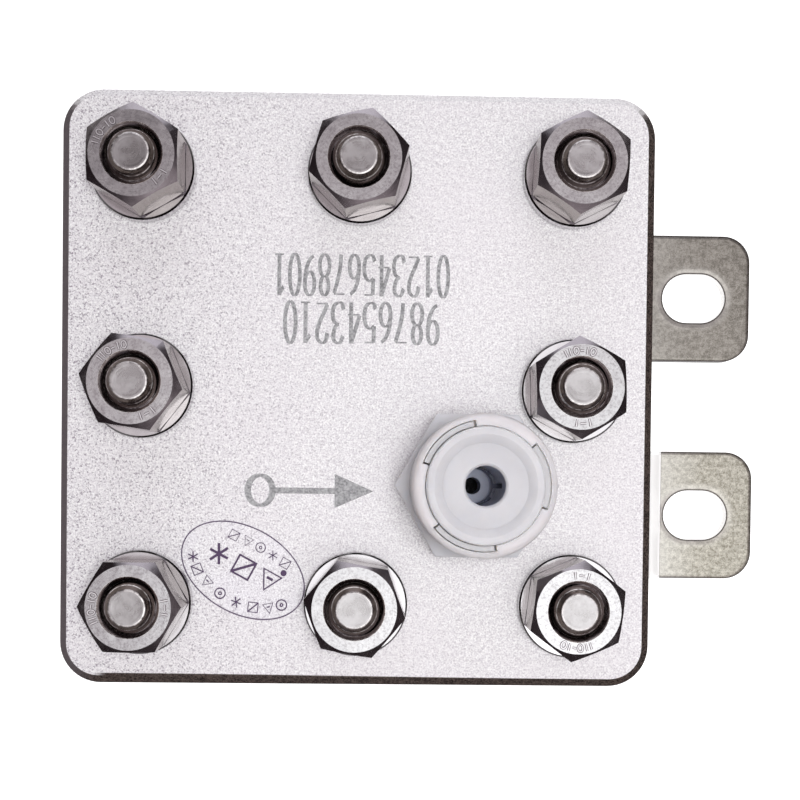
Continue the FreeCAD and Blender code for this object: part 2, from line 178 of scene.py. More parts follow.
def levelness(tree):
    """1 on faces that lie level, 0 on upright ones."""
    return sums(tree, "ABSOLUTE", face_normal(tree)["Z"])


print("mask helpers:", [made.__name__ for made in (fade, between, tint, noise, levelness)])

# %% [markdown]
# An effect that several surfaces share is best kept as a node group: a small tree with named inputs and
# outputs that is built once and placed wherever it is needed. The first two groups only say where a point
# is: in millimetres on the whole object, and round the axis of the bolt nearest to it.


# %% Groups that say where a point is
def new_group(name, inputs, outputs):
    """An empty node group and its two end nodes. Sockets are (name, kind, value) and (name, kind)."""
    group = bpy.data.node_groups.new(name, "ShaderNodeTree")
    for label, kind, value in inputs:
        socket = group.interface.new_socket(label, in_out="INPUT", socket_type="NodeSocket" + kind)
        socket.default_value = value
    for label, kind in outputs:
        group.interface.new_socket(label, in_out="OUTPUT", socket_type="NodeSocket" + kind)
    return group, group.nodes.new("NodeGroupInput").outputs, group.nodes.new("NodeGroupOutput").inputs


def place(tree, group, sockets=None):
    """The outputs of a group placed in a tree."""
    return add(tree, "Group", sockets, node_tree=group).outputs


millimetres, given, gives = new_group(
    "millimetres", [],
    [("Place", "Vector"), ("X", "Float"), ("Y", "Float"), ("Z", "Float")],
)
spot = add(millimetres, "TexCoord").outputs["Object"]
spot = vectors(millimetres, "MULTIPLY", spot, (1 / MM, 1 / MM, 1 / MM))
parts = components(millimetres, spot)
millimetres.links.new(spot, gives["Place"])
for axis in "XYZ":
    millimetres.links.new(parts[axis], gives[axis])

around_bolt, given, gives = new_group(
    "around_bolt", [("Place", "Vector", (0, 0, 0))],
    [("Radius", "Float"), ("Turn", "Float"), ("Lot", "Float")],
)
tree = around_bolt
flat_place = vectors(tree, "MULTIPLY", given["Place"], (1, 1, 0))
half_step = vectors(tree, "ADD", flat_place, (PITCH / MM / 2, PITCH / MM / 2, 0))
bolt_axis = vectors(tree, "SNAP", half_step, (PITCH / MM, PITCH / MM, 1))
offset = vectors(tree, "SUBTRACT", flat_place, bolt_axis)
ends = components(tree, offset)
tree.links.new(vectors(tree, "LENGTH", offset), gives["Radius"])
tree.links.new(sums(tree, "ARCTAN2", ends["Y"], ends["X"]), gives["Turn"])
lot = add(tree, "TexWhiteNoise", {"Vector": bolt_axis}, noise_dimensions="3D").outputs["Value"]
tree.links.new(lot, gives["Lot"])
print("groups:", [g.name for g in bpy.data.node_groups])

# %% [markdown]
# Metal that was blasted with grit has a fine frosted grain: thousands of tiny dents that each catch the
# light a little differently. Two noises a size apart give it, one for the dents and one for their patches.
# Real displacement would need millions of faces, so the dents go into the colour and a Bump node instead.

# %% Blasted grain
blasted_grain, given, gives = new_group(
    "blasted_grain",
    [("Place", "Vector", (0, 0, 0)), ("Grains per mm", "Float", 4.0), ("Contrast", "Float", 0.5)],
    [("Tone", "Float"), ("Height", "Float")],
)
tree = blasted_grain
dents = noise(tree, given["Place"], given["Grains per mm"], 1.0)
patches = noise(tree, given["Place"], times(tree, given["Grains per mm"], 0.37), 2.0)
height = sums(tree, "ADD", times(tree, dents, 0.7), times(tree, patches, 0.3))
spread = fade(tree, height, 0.36, 0.64, -0.5, 0.5, smooth=False)
tone = sums(tree, "MULTIPLY_ADD", spread, given["Contrast"], 0.5)
tree.links.new(tone, gives["Tone"])
tree.links.new(height, gives["Height"])
print("blasted_grain has", len(tree.nodes), "nodes")

# %% [markdown]
# A part from a lathe or a press keeps fine rings round its axis, and every part that was handled has faint
# smudges and a few hairline scratches. A Wave texture would give rings that are all alike, so they come
# from noise along the radius instead. Smudges are slow noise, and scratches are noise that is stretched
# until its blotches become lines.

# %% Rings, smudges and scratches
turned_rings, given, gives = new_group(
    "turned_rings",
    [("Radius", "Float", 0.0), ("Turn", "Float", 0.0), ("Rings per mm", "Float", 6.0)],
    [("Height", "Float")],
)
tree = turned_rings
ring = times(tree, given["Radius"], given["Rings per mm"])
along = add(tree, "CombineXYZ", {"X": ring, "Y": sums(tree, "SINE", given["Turn"])}).outputs[0]
tree.links.new(noise(tree, along, 1.0, 3.0, 0.6), gives["Height"])

smudges, given, gives = new_group(
    "smudges", [("Place", "Vector", (0, 0, 0)), ("Per mm", "Float", 0.2)], [("Mask", "Float")],
)
tree = smudges
cloud = noise(tree, given["Place"], given["Per mm"], 4.0, 0.6)
tree.links.new(fade(tree, cloud, 0.38, 0.66), gives["Mask"])

scratches, given, gives = new_group(
    "scratches",
    [("Place", "Vector", (0, 0, 0)), ("Per mm", "Float", 1.0), ("Amount", "Float", 0.5)],
    [("Mask", "Float")],
)
tree = scratches
lines = []
for turn, shift in ((0.35, 3.0), (-0.9, 11.0), (1.9, 23.0)):
    moved = vectors(tree, "ADD", turned_about_z(tree, given["Place"], turn), (shift, shift, 0))
    stretched = vectors(tree, "MULTIPLY", moved, (0.12, 3.0, 1.0))
    cloud = noise(tree, stretched, given["Per mm"], 0.0)
    line = fade(tree, sums(tree, "ABSOLUTE", sums(tree, "SUBTRACT", cloud, 0.5)), 0.0, 0.012, 1.0, 0.0)
    keep = fade(tree, noise(tree, moved, 0.35, 1.0), 0.5, 0.62)
    lines.append(times(tree, line, keep))
tree.links.new(times(tree, greatest(tree, *lines), given["Amount"]), gives["Mask"])
print("groups:", len(bpy.data.node_groups))

# %% [markdown]
# Screw threads inside the ports are too fine to be worth real faces, but they have to run as a helix. The
# height of a helix is the height along the axis plus a share of the turn round it, and a triangle wave of
# that sum is a thread.

# %% Screw thread as a height
screw_thread, given, gives = new_group(
    "screw_thread",
    [("Place", "Vector", (0, 0, 0)), ("Axis X", "Float", 0.0), ("Axis Y", "Float", 0.0),
     ("Pitch", "Float", 0.907)],
    [("Height", "Float"), ("Radius", "Float")],
)
tree = screw_thread
axis = add(tree, "CombineXYZ", {"X": given["Axis X"], "Y": given["Axis Y"]}).outputs[0]
offset = vectors(tree, "SUBTRACT", given["Place"], axis)
ends = components(tree, offset)
share = sums(tree, "DIVIDE", sums(tree, "ARCTAN2", ends["Y"], ends["X"]), 2 * math.pi)
climb = sums(tree, "SUBTRACT", sums(tree, "DIVIDE", ends["Z"], given["Pitch"]), share)
tree.links.new(sums(tree, "PINGPONG", climb, 0.5), gives["Height"])
flat_offset = vectors(tree, "MULTIPLY", offset, (1, 1, 0))
tree.links.new(vectors(tree, "LENGTH", flat_offset), gives["Radius"])
print("screw_thread has", len(tree.nodes), "nodes")

# %% [markdown]
# Every finish below starts from the same three nodes: the Principled shader, the output, and the point's
# place in millimetres. `put_on` then gives the finished material to CAD nodes or to new pieces.


# %% Helpers for materials
def new_finish(name, metallic=0.0, roughness=0.5, **sockets):
    """A material with a Principled shader whose plain values are set on its own sockets."""
    material = bpy.data.materials.new(name)
    material.use_nodes = True
    tree = material.node_tree
    tree.nodes.clear()
    shader = add(tree, "BsdfPrincipled", {"Metallic": metallic, "Roughness": roughness})
    for label, value in sockets.items():
        shader.inputs[label.replace("_", " ").title()].default_value = value
    output = add(tree, "OutputMaterial")
    tree.links.new(shader.outputs["BSDF"], output.inputs["Surface"])
    return material, tree, shader.inputs, place(tree, millimetres)


def dent(tree, height, strength, distance, under=None):
    """The normal of a surface with these heights. distance is in metres."""
    sockets = {"Height": height, "Strength": strength, "Distance": distance}
    if under is not None:
        sockets["Normal"] = under
    return add(tree, "Bump", sockets).outputs["Normal"]


def put_on(material, *names):
    """Gives a material to CAD nodes, by name, or to new pieces."""
    for name in names:
        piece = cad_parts[name] if isinstance(name, str) else name
        piece.data.materials.clear()
        piece.data.materials.append(material)
    print(material.name, "on", [n if isinstance(n, str) else n.name for n in names])


# %% [markdown]
# The end plates are stainless steel, blasted to a pale frosted grey with a touch of lilac. Their edges
# were bevelled after the blasting, so the bevels are smooth, and they are painted dark and a little brown,
# a painted reflection of dark walls. A bevel is told from a face by its normal: it leans, while faces
# point straight up, down or sideways. Bevels that face left are painted lighter and those that face the
# back keep most of the pale grain, both painted light. Their specular level and tint are lowered, so that
# the pale floor doesn't show in them. Along the front edge a thin strip of the top face is painted the
# same dark metal, a painted reflection that widens the front bevel's dark band.

# %% Finish of the end plates
BEVEL = 1.0
PORT_R = 4.34
blasted_plate, tree, shader, at = new_finish("blasted_plate")
grain = place(tree, blasted_grain, {"Place": at["Place"], "Grains per mm": 5.0, "Contrast": 1.0})
patch = place(tree, smudges, {"Place": at["Place"], "Per mm": 0.06})["Mask"]
frosted = tint(tree, grain["Tone"], paint(214, 211, 215), paint(255, 255, 255))
frosted = tint(tree, times(tree, patch, 0.25), frosted, paint(236, 232, 236))
# Dark specks in the grain, more of them towards the left.
dark_specks = fade(tree, noise(tree, at["Place"], 4.2, 2.0, 0.7), 0.53, 0.68)
dark_specks = times(tree, dark_specks, fade(tree, at["X"], -34.0, 8.0, 0.95, 0.3))
frosted = tint(tree, dark_specks, frosted, paint(146, 136, 148))
normal = face_normal(tree)
level = sums(tree, "ABSOLUTE", normal["Z"])
# Bevels get the painted dark reflection; those that face the back get little of it, which is painted light.
bevel = times(tree, fade(tree, level, 0.2, 0.3), fade(tree, level, 0.9, 0.97, 1.0, 0.0))
bevel = times(tree, bevel, fade(tree, normal["Y"], 0.35, 0.62, 1.0, 0.12))
# A thin band of the top face along the front edge, painted dark metal as a painted reflection.
past_bevel = sums(tree, "ADD", at["Y"], plate_high.y / MM - BEVEL)
front_band = sums(tree, "SUBTRACT", past_bevel, fade(tree, at["X"], -30.0, 30.0, 0.3, 0.0))
front_band = fade(tree, front_band, -0.04, 0.04, 1.0, 0.0)
front_band = times(tree, front_band, fade(tree, sums(tree, "ABSOLUTE", at["X"]), 29.0, 31.0, 1.0, 0.0))
painted_dark_band = times(tree, front_band, fade(tree, level, 0.9, 0.97))
painted_dark_edges = greatest(tree, bevel, painted_dark_band)
# Dark brown metal on the bevels and the front band, a painted reflection; lighter where faces point left,
# painted light.
painted_edge_reflection = tint(tree, grain["Tone"], paint(26, 20, 18), paint(90, 80, 76))
painted_left_light = fade(tree, normal["X"], -0.7, 0.1, 0.75, 0.0)
painted_edge_reflection = tint(tree, painted_left_light, painted_edge_reflection, paint(104, 98, 102))
tree.links.new(tint(tree, painted_dark_edges, frosted, painted_edge_reflection), shader["Base Color"])
tree.links.new(fade(tree, painted_dark_band, 0.0, 1.0, 0.55, 1.0), shader["Metallic"])
# The lowered specular level and brown tint keep the pale floor out of the bevels: part of the painted dark
# reflection.
tree.links.new(fade(tree, bevel, 0.0, 1.0, 0.5, 0.06), shader["Specular IOR Level"])
tree.links.new(tint(tree, bevel, paint(255, 255, 255), paint(90, 78, 72)), shader["Specular Tint"])
tree.links.new(fade(tree, painted_dark_edges, 0.0, 1.0, 0.62, 0.32), shader["Roughness"])
dents = dent(tree, grain["Height"], 0.8, 0.00005)
for port_x, port_y in PORTS:
    thread = place(tree, screw_thread, {"Place": at["Place"], "Axis X": port_x, "Axis Y": port_y})
    inside = fade(tree, thread["Radius"], PORT_R - 0.02, PORT_R + 0.02, 1.0, 0.0)
    inside = times(tree, inside, fade(tree, level, 0.3, 0.4, 1.0, 0.0))
    dents = dent(tree, times(tree, thread["Height"], inside), 1.0, 0.0009, dents)
tree.links.new(dents, shader["Normal"])
put_on(blasted_plate, "top_end_plate", "bottom_end_plate")

# %% [markdown]
# Nuts, washers and bolts are bright stainless steel. A mirror shows the room and not its own colour, so
# the finish is a mid grey metal with a low roughness, and most of the variety comes from the light. Turned
# rings, smudges and scratches break up the reflection. Each bolt's lot number shifts its tone a little.
# Chamfers and sides above the plates can be painted darker, as painted shade, and some thin rings are
# painted bright as painted highlights; the rings are told from the radius, since every fastener is round.


# %% Bright steel and the nuts
def bright_steel(name, dark, light, roughness, ring_strength, rings_per_mm=7.0,
                 chamfer_shade=None, side_shade=None, painted_glints=(), wave=0.0):
    """Bright stainless steel with rings round the nearest bolt axis. Above the plates its chamfers
    and sides can be painted darker, as painted shade, and it is painted bright, as a painted highlight,
    where its radius lies between the two radii of one of the given rings."""
    material, tree, shader, at = new_finish(name, metallic=1.0, roughness=roughness)
    bolt = place(tree, around_bolt, {"Place": at["Place"]})
    ring_values = {"Radius": bolt["Radius"], "Turn": bolt["Turn"], "Rings per mm": rings_per_mm}
    rings = place(tree, turned_rings, ring_values)
    patch = place(tree, smudges, {"Place": at["Place"], "Per mm": 0.55})["Mask"]
    hairs = place(tree, scratches, {"Place": at["Place"], "Per mm": 1.3, "Amount": 0.6})["Mask"]
    tone = tint(tree, sums(tree, "MULTIPLY_ADD", bolt["Lot"], 0.4, times(tree, patch, 0.5)), dark, light)
    high = fade(tree, at["Z"], *ABOVE_CORE, 0.25, 1.0)
    level = levelness(tree)
    if wave:
        pits = fade(tree, noise(tree, at["Place"], 3.6, 2.0), 0.42, 0.72, 0.0, 0.34)
        tone = tint(tree, pits, tone, paint(112, 104, 108))
    # Leaning faces above the plates are painted darker: painted shade.
    if chamfer_shade:
        leaning = times(tree, fade(tree, level, 0.9, 0.97, 1.0, 0.0), fade(tree, level, 0.3, 0.45))
        tone = tint(tree, times(tree, leaning, high, 0.85), tone, chamfer_shade)
    # Upright faces above the plates are painted darker too: painted shade.
    if side_shade:
        upright = fade(tree, level, 0.2, 0.35, 1.0, 0.0)
        tone = tint(tree, times(tree, upright, high), tone, side_shade)
    rough = sums(tree, "MULTIPLY_ADD", patch, 0.07, roughness)
    rough = sums(tree, "MULTIPLY_ADD", hairs, 0.15, rough)
    # Thin rings painted nearly white: painted highlights.
    for inner, outer in painted_glints:
        uneven = fade(tree, noise(tree, at["Place"], 2.2, 2.0), 0.35, 0.6, 0.2, 1.0)
        glint_share = times(tree, between(tree, bolt["Radius"], inner, outer, 0.03), uneven)
        glint_share = times(tree, glint_share, fade(tree, at["Z"], *ABOVE_CORE))
        tone = tint(tree, glint_share, tone, paint(250, 247, 245))
        rough = sums(tree, "MULTIPLY_ADD", glint_share, 0.12, rough)
    tree.links.new(tone, shader["Base Color"])
    tree.links.new(rough, shader["Roughness"])
    lines = dent(tree, rings["Height"], ring_strength, 0.00002)
    if wave:
        lines = dent(tree, noise(tree, at["Place"], 0.7, 1.0), wave, 0.0001, lines)
    tree.links.new(dent(tree, hairs, -0.25, 0.00001, lines), shader["Normal"])
    return material


# The nuts' chamfers and sides are painted darker as painted shade, and a ring round the bore is painted
# bright as a painted highlight.
nut_steel = bright_steel(
    "nut_steel", paint(176, 175, 177), paint(198, 197, 198), 0.16, 0.35,
    chamfer_shade=paint(150, 143, 147), side_shade=paint(158, 150, 146), wave=0.35, painted_glints=[(3.36, 3.48)],
)
put_on(nut_steel, "hex_nuts")

# %% [markdown]
# The same function makes the other two. Washers come smooth from the press, and their rolled rims are
# painted near black, a painted reflection of the room's dark walls. Bolts are rougher, painted a darker
# brown on their threads above the plates as painted shade, and painted bright on the crests and round
# the tip as painted highlights.

# %% Washers and bolts
# Washer rims painted near black: a painted reflection of dark walls.
washer_steel = bright_steel(
    "washer_steel", paint(190, 187, 190), paint(208, 206, 208), 0.11, 0.12, chamfer_shade=paint(30, 24, 26),
)
put_on(washer_steel, "top_washers", "bottom_washers")
# Bolt threads painted darker brown as painted shade, with painted highlight rings on the tip rim, flanks
# and crests.
bolt_steel = bright_steel(
    "bolt_steel", paint(150, 147, 147), paint(204, 202, 203), 0.26, 0.8, rings_per_mm=5.0,
    chamfer_shade=paint(92, 78, 72), side_shade=paint(64, 52, 48), painted_glints=[(1.9, 2.09), (2.5, 2.57), (2.94, 3.1)],
)

# %% [markdown]
# The two terminal plates are titanium, and only their tabs show: warm grey, mottled by rolling and
# handling, with edges rounded in a tumbler. CAD leaves the edges sharp. The distance to the outline of the
# tab and of its slot is worked out from the place, and a height that falls off near both makes the metal
# look rounded.

# %% Rounded edges of a tab
TAB_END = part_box("cathode_terminal_plate")[1].x / MM
TAB_HALF, TAB_CORNER = 8.2, 3.5
SLOT_X, SLOT_HALF, SLOT_R = TAB_END - 7.35, 0.925, 3.2
ANODE_TAB_Y, CATHODE_TAB_Y = 13.8, -14.6
CORE_EDGE = 36.0
tab_edges, given, gives = new_group(
    "tab_edges",
    [("Place", "Vector", (0, 0, 0)), ("Middle", "Float", 14.0), ("Width", "Float", 0.6)],
    [("Height", "Float"), ("Slot distance", "Float"), ("Edge distance", "Float")],
)
tree = tab_edges
ends = components(tree, given["Place"])
across = sums(tree, "ABSOLUTE", sums(tree, "SUBTRACT", ends["Y"], given["Middle"]))
past_x = greatest(tree, sums(tree, "SUBTRACT", ends["X"], TAB_END - TAB_CORNER), 0.0)
past_y = greatest(tree, sums(tree, "SUBTRACT", across, TAB_HALF - TAB_CORNER), 0.0)
corner = vectors(tree, "LENGTH", add(tree, "CombineXYZ", {"X": past_x, "Y": past_y}).outputs[0])
to_edge = sums(tree, "SUBTRACT", TAB_CORNER, corner)
along = sums(tree, "ABSOLUTE", sums(tree, "SUBTRACT", ends["X"], SLOT_X))
past_end = greatest(tree, sums(tree, "SUBTRACT", along, SLOT_HALF), 0.0)
round_end = vectors(tree, "LENGTH", add(tree, "CombineXYZ", {"X": past_end, "Y": across}).outputs[0])
to_slot = sums(tree, "SUBTRACT", round_end, SLOT_R)
edge_rise = fade(tree, to_edge, 0.0, given["Width"])
slot_rise = fade(tree, to_slot, 0.0, times(tree, given["Width"], 1.6))
tree.links.new(times(tree, edge_rise, slot_rise), gives["Height"])
tree.links.new(to_slot, gives["Slot distance"])
tree.links.new(to_edge, gives["Edge distance"])
print("tab ends at %.1f mm, slot centre at %.1f mm" % (TAB_END, SLOT_X))

# %% [markdown]
# The tabs are painted lighter near the plates and round their slots, as painted highlights, and painted
# dark along their rounded edges as painted shade. The slots' walls are painted near white, a painted
# highlight, and the other cut walls near black, painted shade. The cathode's tab also has a bend, where the
# metal
# slopes down: it is painted a satin white, a painted reflection of the pale surface round it, and the
# creases where it starts are painted darker, painted shade. Each of these is a mask, and each mask blends
# one more colour in.


# %% Finishes of the terminal plates
def terminal_metal(name, dark, light, roughness, tab_middle, glint_share):
    """Mottled titanium with tumbled edges on its tab, which is painted lighter near the plates as a painted
    highlight.
    """
    material, tree, shader, at = new_finish(name, metallic=1.0, roughness=roughness)
    mottle = noise(tree, at["Place"], 1.8, 5.0, 0.65)
    fine = noise(tree, at["Place"], 6.5, 2.0)
    both = sums(tree, "MULTIPLY_ADD", fine, 0.45, times(tree, mottle, 0.75))
    blotch = fade(tree, both, 0.4, 0.8)
    hairs = place(tree, scratches, {"Place": at["Place"], "Per mm": 0.7, "Amount": 0.5})["Mask"]
    edges = place(tree, tab_edges, {"Place": at["Place"], "Middle": tab_middle, "Width": 0.45})
    colour = tint(tree, blotch, dark, light)
    colour = tint(tree, times(tree, hairs, 0.4), colour, paint(235, 230, 222))
    # Lighter towards the plates: a painted highlight.
    slow = noise(tree, at["Place"], 0.22, 3.0)
    near = sums(tree, "SUBTRACT", at["X"], times(tree, slow, 5.0))
    plate_side_glint = times(tree, fade(tree, near, CORE_EDGE - 0.5, CORE_EDGE + 6.5, 1.0, 0.0), glint_share)
    colour = tint(tree, plate_side_glint, colour, paint(242, 242, 238))
    # Lighter round the slot: a painted highlight.
    painted_glints = fade(tree, edges["Slot distance"], 0.1, 1.3, 0.35, 0.0)
    colour = tint(tree, painted_glints, colour, paint(236, 234, 229))
    # Dark along the outer edge and the slot's edge: painted shade on the rounded edges.
    edge_shade = fade(tree, edges["Edge distance"], 0.04, 0.3, 0.9, 0.0)
    rim = fade(tree, edges["Slot distance"], 0.08, 0.27, 0.9, 0.0)
    colour = tint(tree, greatest(tree, edge_shade, rim), colour, paint(56, 48, 46))
    level = levelness(tree)
    # Slot walls painted near white, a painted highlight; other cut walls near black, painted shade.
    wall_light_and_shade = tint(tree, fade(tree, edges["Slot distance"], 0.06, 0.1), paint(244, 243, 241), paint(42, 36, 34))
    in_core = fade(tree, at["X"], CORE_EDGE - 0.5, CORE_EDGE + 0.5, 1.0, 0.0)
    wall_light_and_shade = tint(tree, in_core, wall_light_and_shade, paint(134, 130, 124))
    colour = tint(tree, fade(tree, level, 0.2, 0.4, 1.0, 0.0), colour, wall_light_and_shade)
    # The bend is painted satin white, a painted reflection, and the creases round it darker, painted shade.
    bend_reflection = times(tree, fade(tree, level, 0.975, 0.995, 1.0, 0.0), fade(tree, level, 0.4, 0.55))
    crease = times(tree, fade(tree, level, 0.9985, 0.9998, 1.0, 0.0), fade(tree, level, 0.985, 0.995))
    colour = tint(tree, times(tree, crease, 0.6), colour, paint(150, 148, 144))
    colour = tint(tree, bend_reflection, colour, paint(255, 255, 254))
    tree.links.new(colour, shader["Base Color"])
    tree.links.new(fade(tree, bend_reflection, 0.0, 1.0, 1.0, 0.25), shader["Metallic"])
    tree.links.new(fade(tree, bend_reflection, 0.0, 1.0, roughness, 0.15), shader["Roughness"])
    rounded = dent(tree, edges["Height"], 0.6, 0.00012)
    pits = times(tree, both, fade(tree, bend_reflection, 0.0, 0.5, 1.0, 0.0))
    pitted = dent(tree, pits, 0.5, 0.00004, rounded)
    tree.links.new(dent(tree, hairs, -0.3, 0.00002, pitted), shader["Normal"])
    return material


# Both tabs are one titanium: the anode's darker tones and smaller highlight are painted shade, the
# cathode's lighter ones painted light.
anode_tones = paint(124, 120, 112), paint(182, 178, 170)
anode_titanium = terminal_metal("anode_titanium", *anode_tones, 0.4, ANODE_TAB_Y, 0.12)
put_on(anode_titanium, "anode_terminal_plate")
cathode_tones = paint(140, 136, 123), paint(212, 209, 197)
cathode_titanium = terminal_metal("cathode_titanium", *cathode_tones, 0.4, CATHODE_TAB_Y, 0.42)
put_on(cathode_titanium, "cathode_terminal_plate")

# %% [markdown]
# The push-in fitting is white moulded plastic. Such a plastic is slightly cloudy, so a little light enters
# and comes out beside where it went in: a low Subsurface Weight does this. Its skin is satin with faint
# flow patches, and its clear gloss comes from the shader's own specular reflection.

# %% Finishes of the fitting
SKIN_R = 7.4
TUBE_R = 2.1


def moulded_plastic(name, shade, deep, roughness, lug_top_shade=None):
    """White moulded plastic with a satin skin. The walls of its seams are painted near white, painted
    light, the tops of its lugs can be painted darker, painted shade, and the bore is painted darker,
    painted shade."""
    material, tree, shader, at = new_finish(name, roughness=roughness, subsurface_weight=0.9)
    shader["Subsurface Radius"].default_value = (1.0, 0.9, 0.8)
    shader["Subsurface Scale"].default_value = 0.0025
    patch = place(tree, smudges, {"Place": at["Place"], "Per mm": 0.25})["Mask"]
    skin = noise(tree, at["Place"], 9.0, 2.0)
    colour = tint(tree, times(tree, patch, 0.6), shade, deep)
    from_axis = vectors(tree, "SUBTRACT", at["Place"], (FITTING[0] / MM, FITTING[1] / MM, 0))
    radius = vectors(tree, "LENGTH", vectors(tree, "MULTIPLY", from_axis, (1, 1, 0)))
    upright = fade(tree, levelness(tree), 0.15, 0.4, 1.0, 0.0)
    inside_skin = fade(tree, radius, SKIN_R - 0.05, SKIN_R + 0.05, 1.0, 0.0)
    # Walls of the seams and windows painted near white: painted light.
    painted_seam_light = times(tree, fade(tree, radius, 3.4, 3.6), inside_skin, upright)
    colour = tint(tree, painted_seam_light, colour, paint(252, 252, 252))
    if lug_top_shade:
        # Tops of the lugs painted darker: painted shade.
        tops = times(tree, fade(tree, radius, 4.9, 5.1), inside_skin, sums(tree, "SUBTRACT", 1.0, upright))
        colour = tint(tree, tops, colour, lug_top_shade)
    # The bore painted a darker blue-grey: painted shade.
    below_face = fade(tree, at["Z"], COLLET_TOP - 1.2, COLLET_TOP - 0.5, 1.0, 0.0)
    painted_bore_shade = times(tree, fade(tree, radius, TUBE_R + 0.15, TUBE_R + 0.35, 1.0, 0.0), below_face)
    colour = tint(tree, painted_bore_shade, colour, paint(172, 175, 190))
    tree.links.new(colour, shader["Base Color"])
    tree.links.new(sums(tree, "MULTIPLY_ADD", patch, 0.08, roughness), shader["Roughness"])
    tree.links.new(dent(tree, skin, 0.12, 0.00003), shader["Normal"])
    return material


body_tones = paint(196, 195, 198), paint(187, 187, 191)
body_plastic = moulded_plastic("body_plastic", *body_tones, 0.34, lug_top_shade=paint(176, 173, 174))
put_on(body_plastic, "fitting_body")
cap_plastic = moulded_plastic("cap_plastic", paint(188, 184, 186), paint(181, 178, 181), 0.3)
put_on(cap_plastic, "fitting_end_cap")
collet_plastic = moulded_plastic("collet_plastic", paint(178, 177, 180), paint(170, 169, 173), 0.36)
put_on(collet_plastic, "release_collet")
grip_steel = bright_steel("grip_steel", paint(196, 196, 200), paint(226, 226, 230), 0.18, 0.1)
put_on(grip_steel, "grip_ring")

# %% [markdown]
# Rubber and plastic sheets fill the gap between the plates. From the side they show as thin lines, and the
# slots and ports let a little of them be seen, so each gets its own surface: soft matt rubber, milky
# insulating sheet and the amber membrane. One function makes them all, with the blasted grain made finer
# or coarser for each.


# %% Finishes of the seals and sheets
def matt_sheet(name, shade, deep, roughness, grains_per_mm, strength):
    """A soft matt sheet or seal with a fine grain."""
    material, tree, shader, at = new_finish(name, roughness=roughness)
    grain_values = {"Place": at["Place"], "Grains per mm": grains_per_mm, "Contrast": 1.0}
    grain = place(tree, blasted_grain, grain_values)
    patch = place(tree, smudges, {"Place": at["Place"], "Per mm": 0.3})["Mask"]
    mixed = sums(tree, "MULTIPLY_ADD", grain["Tone"], 0.6, times(tree, patch, 0.4))
    tree.links.new(tint(tree, mixed, shade, deep), shader["Base Color"])
    tree.links.new(sums(tree, "MULTIPLY_ADD", patch, 0.1, roughness), shader["Roughness"])
    tree.links.new(dent(tree, grain["Height"], strength, 0.00004), shader["Normal"])
    return material


MATT_SHEETS = {
    "insulating_sheet": ((214, 212, 204), (198, 196, 188), 0.45, 2.0, 0.2,
                         ("top_insulator", "bottom_insulator")),
    "gasket_rubber": ((176, 178, 180), (160, 162, 166), 0.6, 3.0, 0.3, ("anode_gasket", "cathode_gasket")),
    "seal_rubber": ((40, 40, 42), (26, 26, 28), 0.55, 5.0, 0.3,
                    ("water_port_seal", "oxygen_port_seal", "hydrogen_port_seal")),
    "grey_rubber": ((100, 102, 118), (84, 86, 102), 0.45, 5.0, 0.3, ("tube_seal_ring",)),
    "soft_washer": ((206, 206, 208), (190, 190, 194), 0.5, 3.0, 0.2, ("fitting_seal_washer",)),
    "sleeve_plastic": ((220, 219, 214), (206, 205, 200), 0.4, 2.0, 0.15, ("bolt_sleeves",)),
    "amber_membrane": ((196, 158, 96), (178, 138, 78), 0.3, 1.0, 0.1, ("membrane",)),
}
for name, (shade, deep, roughness, grains_per_mm, strength, nodes) in MATT_SHEETS.items():
    put_on(matt_sheet(name, paint(*shade), paint(*deep), roughness, grains_per_mm, strength), *nodes)

# %% [markdown]
# The titanium felt and the carbon paper are mats of fine fibres that let gas and water through. Hair
# curves could draw each fibre, but there would be millions, so three layers of stretched noise, each
# turned another way, stand for them.


# %% Finishes of the felt and the carbon paper
def fibre_sheet(name, dark, light, metallic, roughness):
    """Pressed fibres that lie flat and point every way."""
    material, tree, shader, at = new_finish(name, metallic=metallic, roughness=roughness)
    layers = []
    for turn in (0.0, 1.05, 2.1):
        stretched = vectors(tree, "MULTIPLY", turned_about_z(tree, at["Place"], turn), (0.6, 9.0, 3.0))
        layers.append(noise(tree, stretched, 1.0, 2.0))
    fibres = fade(tree, greatest(tree, *layers), 0.45, 0.75)
    tree.links.new(tint(tree, fibres, dark, light), shader["Base Color"])
    tree.links.new(fade(tree, fibres, 0.0, 1.0, roughness + 0.15, roughness), shader["Roughness"])
    tree.links.new(dent(tree, fibres, 0.8, 0.0001), shader["Normal"])
    return material


put_on(fibre_sheet("titanium_fibres", paint(90, 86, 82), paint(200, 196, 190), 1.0, 0.35), "titanium_felt")
put_on(fibre_sheet("carbon_fibres", paint(16, 16, 17), paint(62, 62, 66), 0.0, 0.55), "gas_diffusion_layer")

# %% [markdown]
# The bolts come from CAD as plain bars, and will be replaced by bolts with a thread. First come two
# helpers. Points that are worked out one by one leave doubles and mixed-up normals behind, so `new_piece`
# cleans a mesh, marks its sharp edges by their angle, and lets it ride on a body of the object.


